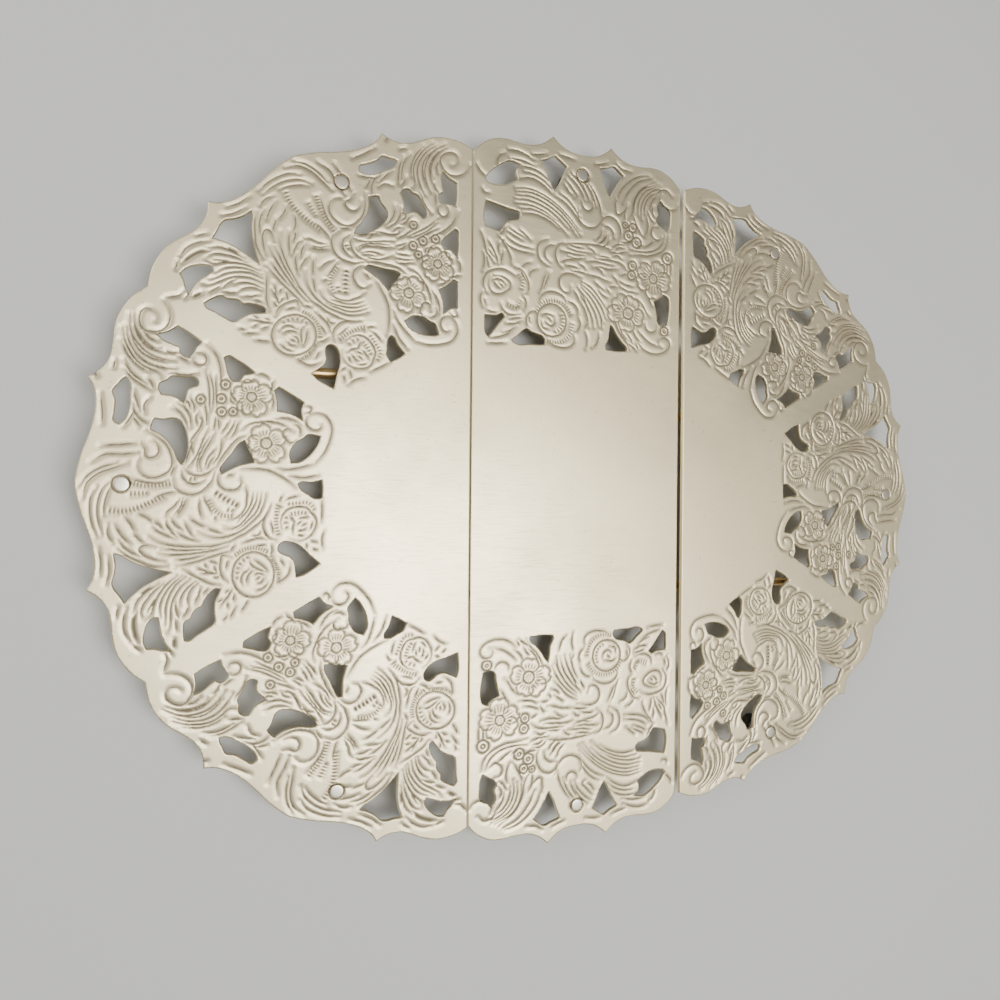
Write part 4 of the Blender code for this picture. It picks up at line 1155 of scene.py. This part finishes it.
# Turned feet, in mm. Profiles run from the axis at the top to the axis at the bottom.
STUD_HEAD = 0.1             # height of the flush rivet's slight crown
FOOT_SHAPE = [(0.0, 0.72), (0.12, 0.93), (0.22, 1.0), (0.34, 1.0), (0.38, 0.86), (0.46, 0.84), (0.58, 0.94)]
STUD_RADIUS = 1.9
TIP_RADIUS = 2.6
TIP_DEPTH = 1.4             # how far the foot's tip goes into its pad


def make_foot(node, silver):
    """A riveted stud and its turned foot, between the leaf and the pad."""
    low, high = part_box(node)
    centre = middle_of(node)
    body_radius = (high.x - low.x) / 2 / MM
    top = high.z / MM
    bottom = low.z / MM
    shoulder = CENTRE_UNDERSIDE - 0.05
    height = shoulder - bottom
    turning = [(wide * body_radius, shoulder - down * height) for down, wide in FOOT_SHAPE]
    profile = rounded(
        [(0.0, top), (STUD_RADIUS - 0.5, top - 0.3 * STUD_HEAD), (STUD_RADIUS, top - STUD_HEAD),
         (STUD_RADIUS, shoulder)] + turning
        + [(TIP_RADIUS, bottom + TIP_DEPTH), (TIP_RADIUS, bottom), (0.0, bottom)], 0.3)

    def place(x, y, z):
        return (centre.x + x * MM, centre.y + y * MM, z * MM)

    vertices, faces = lathe(profile, place)
    new_piece(f"{node}_turned", vertices, faces, silver, body_of(node), node)


def make_pad(node, rubber):
    """A moulded cup with a bead round its mouth and a grooved tread."""
    low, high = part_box(node)
    centre = middle_of(node)
    outer = (high.x - low.x) / 2 / MM
    top = high.z / MM
    profile = rounded([
        (0.0, 1.3), (TIP_RADIUS + 0.05, 1.3), (TIP_RADIUS + 0.05, top - 0.2), (TIP_RADIUS + 0.3, top),
        (outer - 0.45, top), (outer - 0.15, top - 0.25), (outer - 0.15, top - 0.6),
        (outer - 0.5, top - 0.85), (outer - 0.1, 0.7), (outer, 0.45), (outer - 0.2, 0.0),
        (outer - 0.9, 0.0), (outer - 1.15, 0.3), (outer - 1.5, 0.3), (outer - 1.75, 0.0),
        (outer - 2.5, 0.0), (outer - 2.7, 0.3), (0.0, 0.35),
    ], 0.15, 3)

    def place(x, y, z):
        return (centre.x + x * MM, centre.y + y * MM, z * MM)

    vertices, faces = lathe(profile, place)
    new_piece(f"{node}_moulded", vertices, faces, rubber, body_of(node), node)


def along_x(node):
    """Place function for a body turned about the rod's axis, from the node's low-X end."""
    low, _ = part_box(node)
    centre = rod_axis(node)

    def place(u, v, w):
        return (low.x + w * MM, centre.y - u * MM, centre.z + v * MM)

    return place


def rod_axis(node):
    """Middle of the rod that a slide piece belongs to."""
    rod = node
    for ending in ("_anchor", "_stop", "_guide_outer", "_guide_inner"):
        rod = rod.removesuffix(ending)
    return middle_of(rod)


def make_rod(node, brass):
    low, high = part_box(node)
    radius = (high.z - low.z) / 2 / MM
    length = (high.x - low.x) / MM
    profile = rounded([(0.0, length), (radius - 0.45, length), (radius, length - 0.45),
                       (radius, 0.45), (radius - 0.45, 0.0), (0.0, 0.0)], 0.25)
    vertices, faces = lathe(profile, along_x(node))
    new_piece(f"{node}_drawn", vertices, faces, brass, body_of(node), node, sharp=30)


def make_stop(node, brass):
    """A collar with chamfered ends and a groove round its waist."""
    low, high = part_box(node)
    radius = (high.z - low.z) / 2 / MM
    length = (high.x - low.x) / MM
    profile = rounded([
        (COLLAR_BORE, length), (radius - 0.35, length), (radius, length - 0.35), (radius, 0.62 * length),
        (radius - 0.25, 0.56 * length), (radius - 0.25, 0.44 * length), (radius, 0.38 * length),
        (radius, 0.35), (radius - 0.35, 0.0), (COLLAR_BORE, 0.0), (COLLAR_BORE, length),
    ], 0.12, 3)
    vertices, faces = lathe(profile, along_x(node))
    new_piece(f"{node}_collar", vertices, faces, brass, body_of(node), node)


def make_block(node, brass, reach, bore):
    """A guide or anchor: a block, bored and round below, that reaches up to its leaf with a fillet."""
    low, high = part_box(node)
    axis = rod_axis(node)
    length = (high.x - low.x) / MM
    half = (high.y - low.y) / 2 / MM
    top = reach - axis.z / MM
    fillet = 0.5
    chamfer = 0.3
    outline = [(half + fillet, top), (half + 0.35 * fillet, top - 0.3 * fillet), (half, top - fillet)]
    arc = [(half * math.cos(a), half * math.sin(a)) for a in np.linspace(0, -math.pi, ROUND // 2 + 1)]
    outline = outline + arc + [(-u, v) for u, v in outline[::-1]]
    mouth = 0.25
    sections = [(0.0, chamfer, mouth), (chamfer, 0.0, 0.0), (length - chamfer, 0.0, 0.0),
                (length, chamfer, mouth)]
    place = along_x(node)
    vertices = []
    rings = []
    for along, shrink, _ in sections:
        ring = []
        for u, v in outline:
            gap = math.hypot(u, v)
            scale = (gap - shrink) / gap if v < top - fillet else (half - shrink) / half
            ring.append(len(vertices))
            vertices.append(place(u * scale, v if v > 0 else v * scale, along))
        rings.append(ring)
    bores = []
    for along, _, flare in sections:
        ring = []
        for u, v in outline:
            angle = math.atan2(v, u)
            ring.append(len(vertices))
            vertices.append(place((bore + flare) * math.cos(angle), (bore + flare) * math.sin(angle), along))
        bores.append(ring)
    count = len(outline)
    faces = []
    for first, second in zip(rings, rings[1:]):
        for i in range(count):
            j = (i + 1) % count
            faces.append((first[j], first[i], second[i], second[j]))
    for first, second in zip(bores, bores[1:]):
        for i in range(count):
            j = (i + 1) % count
            faces.append((first[i], first[j], second[j], second[i]))
    for i in range(count):
        j = (i + 1) % count
        faces.append((rings[0][i], rings[0][j], bores[0][j], bores[0][i]))
        faces.append((rings[-1][j], rings[-1][i], bores[-1][i], bores[-1][j]))
    new_piece(f"{node}_block", vertices, faces, brass, body_of(node), node)


# ---------------------------------------------------------------- materials

def shader_tree(name):
    material = bpy.data.materials.new(name)
    material.use_nodes = True
    tree = material.node_tree
    return material, tree, tree.nodes["Principled BSDF"]


def noise(tree, scale, detail=3.0, stretch=(1, 1, 1), turn=0.0):
    """Object-space noise, scale in features per metre."""
    where = tree.nodes.new("ShaderNodeTexCoord")
    mapping = tree.nodes.new("ShaderNodeMapping")
    mapping.inputs["Scale"].default_value = stretch
    mapping.inputs["Rotation"].default_value = (0, 0, math.radians(turn))
    tree.links.new(where.outputs["Object"], mapping.inputs["Vector"])
    texture = tree.nodes.new("ShaderNodeTexNoise")
    texture.inputs["Scale"].default_value = scale
    texture.inputs["Detail"].default_value = detail
    tree.links.new(mapping.outputs["Vector"], texture.inputs["Vector"])
    return texture.outputs["Fac"]


def ranged(tree, value, low, high, to_low, to_high):
    node = tree.nodes.new("ShaderNodeMapRange")
    for name, number in zip(("From Min", "From Max", "To Min", "To Max"), (low, high, to_low, to_high)):
        node.inputs[name].default_value = number
    tree.links.new(value, node.inputs["Value"])
    return node.outputs["Result"]


def mixed(tree, share, first, second):
    """Colour mix; each side is a colour or an output."""
    node = tree.nodes.new("ShaderNodeMix")
    node.data_type = "RGBA"
    for socket, value in ((node.inputs[6], first), (node.inputs[7], second)):
        if isinstance(value, tuple):
            socket.default_value = (*value, 1.0)
        else:
            tree.links.new(value, socket)
    tree.links.new(share, node.inputs["Factor"])
    return node.outputs[2]


def computed(tree, operation, first, second):
    node = tree.nodes.new("ShaderNodeMath")
    node.operation = operation
    node.use_clamp = True
    for socket, value in zip(node.inputs, (first, second)):
        if isinstance(value, (int, float)):
            socket.default_value = value
        else:
            tree.links.new(value, socket)
    return node.outputs[0]


def bumped(tree, shader, layers):
    """Chain of bumps from (height output, distance in metres, strength)."""
    normal = None
    for height, distance, strength in layers:
        bump = tree.nodes.new("ShaderNodeBump")
        bump.inputs["Distance"].default_value = distance
        bump.inputs["Strength"].default_value = strength
        tree.links.new(height, bump.inputs["Height"])
        if normal is not None:
            tree.links.new(normal, bump.inputs["Normal"])
        normal = bump.outputs["Normal"]
    tree.links.new(normal, shader.inputs["Normal"])


def silver_sheet(name):
    """Old silver plate: satin, warm, dark in the chased lines, darker round them (duller worked metal and
    painted shade), with fine scratches and dull patches.
    """
    material, tree, shader = shader_tree(name)
    line = tree.nodes.new("ShaderNodeAttribute")
    line.attribute_name = "line"
    work = tree.nodes.new("ShaderNodeAttribute")
    work.attribute_name = "work"
    patches = noise(tree, 22, 4)
    specks = noise(tree, 900, 2)
    plate = mixed(tree, ranged(tree, patches, 0.35, 0.7, 0, 1), (0.89, 0.80, 0.575), (0.83, 0.735, 0.515))
    # Round the chased lines the plate is mixed to a darker tone: partly the duller worked metal, partly
    # painted shade of the pressed relief.
    worked = mixed(tree, computed(tree, "MULTIPLY", work.outputs["Fac"], 0.7), plate, (0.64, 0.56, 0.40))
    in_line = ranged(tree, line.outputs["Fac"], 0.03, 0.12, 0, 1)
    dark = computed(tree, "MULTIPLY", in_line, ranged(tree, patches, 0.3, 0.7, 1.0, 0.82))
    tarnished = mixed(tree, dark, worked, (0.18, 0.155, 0.11))
    spotted = mixed(tree, ranged(tree, specks, 0.68, 0.74, 0, 0.35), tarnished, (0.30, 0.26, 0.20))
    tree.links.new(spotted, shader.inputs["Base Color"])
    shader.inputs["Metallic"].default_value = 1.0
    scratches = noise(tree, 160, 2, stretch=(1, 26, 1), turn=27)
    crossed = noise(tree, 140, 2, stretch=(22, 1, 1), turn=-12)
    dull = ranged(tree, patches, 0.3, 0.7, 0.34, 0.46)
    rough = computed(tree, "ADD", dull, ranged(tree, scratches, 0.5, 0.75, 0.0, 0.10))
    rough = computed(tree, "ADD", rough, ranged(tree, line.outputs["Fac"], 0.0, 0.13, 0.0, 0.2))
    tree.links.new(rough, shader.inputs["Roughness"])
    waves = noise(tree, 35, 2)
    bumped(tree, shader, [(waves, 0.0004, 0.25), (scratches, 0.00002, 0.5), (crossed, 0.00002, 0.4)])
    return material


def silver_turned():
    material, tree, shader = shader_tree("turned_silver")
    patches = noise(tree, 160, 3)
    rings = noise(tree, 500, 2, stretch=(0.2, 0.2, 6))
    colour = mixed(tree, ranged(tree, patches, 0.35, 0.7, 0, 1), (0.80, 0.77, 0.69), (0.62, 0.57, 0.47))
    tree.links.new(colour, shader.inputs["Base Color"])
    shader.inputs["Metallic"].default_value = 1.0
    tree.links.new(ranged(tree, patches, 0.3, 0.7, 0.3, 0.45), shader.inputs["Roughness"])
    bumped(tree, shader, [(rings, 0.00003, 0.5)])
    return material


def drawn_brass():
    material, tree, shader = shader_tree("drawn_brass")
    patches = noise(tree, 120, 4)
    lines = noise(tree, 300, 2, stretch=(0.1, 6, 6))
    colour = mixed(tree, ranged(tree, patches, 0.35, 0.68, 0, 1), (0.74, 0.55, 0.27), (0.50, 0.34, 0.16))
    tree.links.new(colour, shader.inputs["Base Color"])
    shader.inputs["Metallic"].default_value = 1.0
    tree.links.new(ranged(tree, patches, 0.3, 0.7, 0.28, 0.45), shader.inputs["Roughness"])
    bumped(tree, shader, [(lines, 0.00003, 0.6)])
    return material


def moulded_rubber():
    material, tree, shader = shader_tree("moulded_rubber")
    grain = noise(tree, 2600, 2)
    dust = noise(tree, 260, 4)
    colour = mixed(tree, ranged(tree, dust, 0.45, 0.75, 0, 1), (0.022, 0.021, 0.02), (0.09, 0.085, 0.08))
    tree.links.new(colour, shader.inputs["Base Color"])
    tree.links.new(ranged(tree, dust, 0.3, 0.7, 0.62, 0.85), shader.inputs["Roughness"])
    bumped(tree, shader, [(grain, 0.00006, 0.5)])
    return material


# ---------------------------------------------------------------- stage

CAMERA_PLACE = (-0.1142, -0.0029, 0.2226)
CAMERA_AIM = (0.3788, -0.0014, -0.9255)
CAMERA_UP = (-0.0075, 0.99996, -0.0046)
CAMERA_LENS = 27.4          # mm, on a 36 mm wide sensor
FLOOR_HALF = 1.3            # m
WALL_GLOW = 0.7             # light from near the horizon
SKY_GLOW = 0.24             # light from overhead


def area_light(name, place, aim, size, power, colour):
    data = bpy.data.lights.new(name, "AREA")
    data.shape = "RECTANGLE"
    data.size, data.size_y = size
    data.energy = power
    data.color = colour
    lamp = bpy.data.objects.new(name, data)
    lamp.location = place
    lamp.rotation_euler = (Vector(aim) - Vector(place)).to_track_quat("-Z", "Y").to_euler()
    bpy.context.scene.collection.objects.link(lamp)


def set_stage():
    mesh = bpy.data.meshes.new("floor")
    corners = [(x * FLOOR_HALF, y * FLOOR_HALF, 0) for x, y in ((-1, -1), (1, -1), (1, 1), (-1, 1))]
    mesh.from_pydata(corners, [], [(0, 1, 2, 3)])
    material, _, shader = shader_tree("floor_paint")
    shader.inputs["Base Color"].default_value = (0.63, 0.65, 0.68, 1)
    shader.inputs["Roughness"].default_value = 0.7
    mesh.materials.append(material)
    floor = bpy.data.objects.new("floor", mesh)
    bpy.context.scene.collection.objects.link(floor)

    world = bpy.data.worlds.new("studio")
    world.use_nodes = True
    sky = world.node_tree
    background = sky.nodes["Background"]
    background.inputs["Color"].default_value = (1.0, 0.975, 0.92, 1)
    direction = sky.nodes.new("ShaderNodeTexCoord")
    parts = sky.nodes.new("ShaderNodeSeparateXYZ")
    sky.links.new(direction.outputs["Generated"], parts.inputs["Vector"])
    glow = ranged(sky, parts.outputs["Z"], 0.05, 0.35, WALL_GLOW, SKY_GLOW)
    sky.links.new(glow, background.inputs["Strength"])
    bpy.context.scene.world = world
    area_light("window", (-0.75, 0.45, 0.6), (0, 0, 0), (0.6, 0.6), 4.0, (1.0, 0.965, 0.88))
    area_light("ceiling", (0.18, -0.12, 0.95), (0, 0, 0), (0.42, 0.75), 9.2, (1.0, 0.96, 0.86))

    camera_data = bpy.data.cameras.new("camera")
    camera_data.lens = CAMERA_LENS
    camera_data.sensor_width = 36.0
    camera_data.clip_start = 0.01
    camera = bpy.data.objects.new("camera", camera_data)
    back = -Vector(CAMERA_AIM).normalized()
    right = Vector(CAMERA_UP).cross(back).normalized()
    up = back.cross(right)
    turn = Matrix((right, up, back)).transposed()
    camera.matrix_world = Matrix.Translation(CAMERA_PLACE) @ turn.to_4x4()
    bpy.context.scene.collection.objects.link(camera)
    bpy.context.scene.camera = camera


# ---------------------------------------------------------------- the mat

def make_sheet(name, face, node, material):
    low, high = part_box(node)
    piece = solid_sheet(name, face, low.z, high.z, material)
    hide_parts(node)
    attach(piece, body_of(node))


CENTRE_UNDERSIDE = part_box("centre_leaf")[0].z / MM
END_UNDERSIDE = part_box("left_leaf")[0].z / MM


def main():
    silver = silver_sheet("chased_silver")
    turned = silver_turned()
    brass = drawn_brass()
    rubber = moulded_rubber()
    left = end_leaf_face()
    make_sheet("left_leaf_sheet", left, "left_leaf", silver)
    make_sheet("right_leaf_sheet", moved(left, 180, 0.0), "right_leaf", silver)
    make_sheet("centre_leaf_sheet", centre_leaf_face(), "centre_leaf", silver)
    for node in sorted(frame["nodes"]):
        if node.endswith("_foot"):
            make_foot(node, turned)
        elif node.endswith("_pad"):
            make_pad(node, rubber)
        elif node.endswith("_rod"):
            make_rod(node, brass)
        elif node.endswith("_stop"):
            make_stop(node, brass)
        elif node.endswith("_anchor"):
            make_block(node, brass, END_UNDERSIDE, ANCHOR_BORE)
        elif "_guide_" in node:
            make_block(node, brass, CENTRE_UNDERSIDE, GUIDE_BORE)
    set_stage()


main()
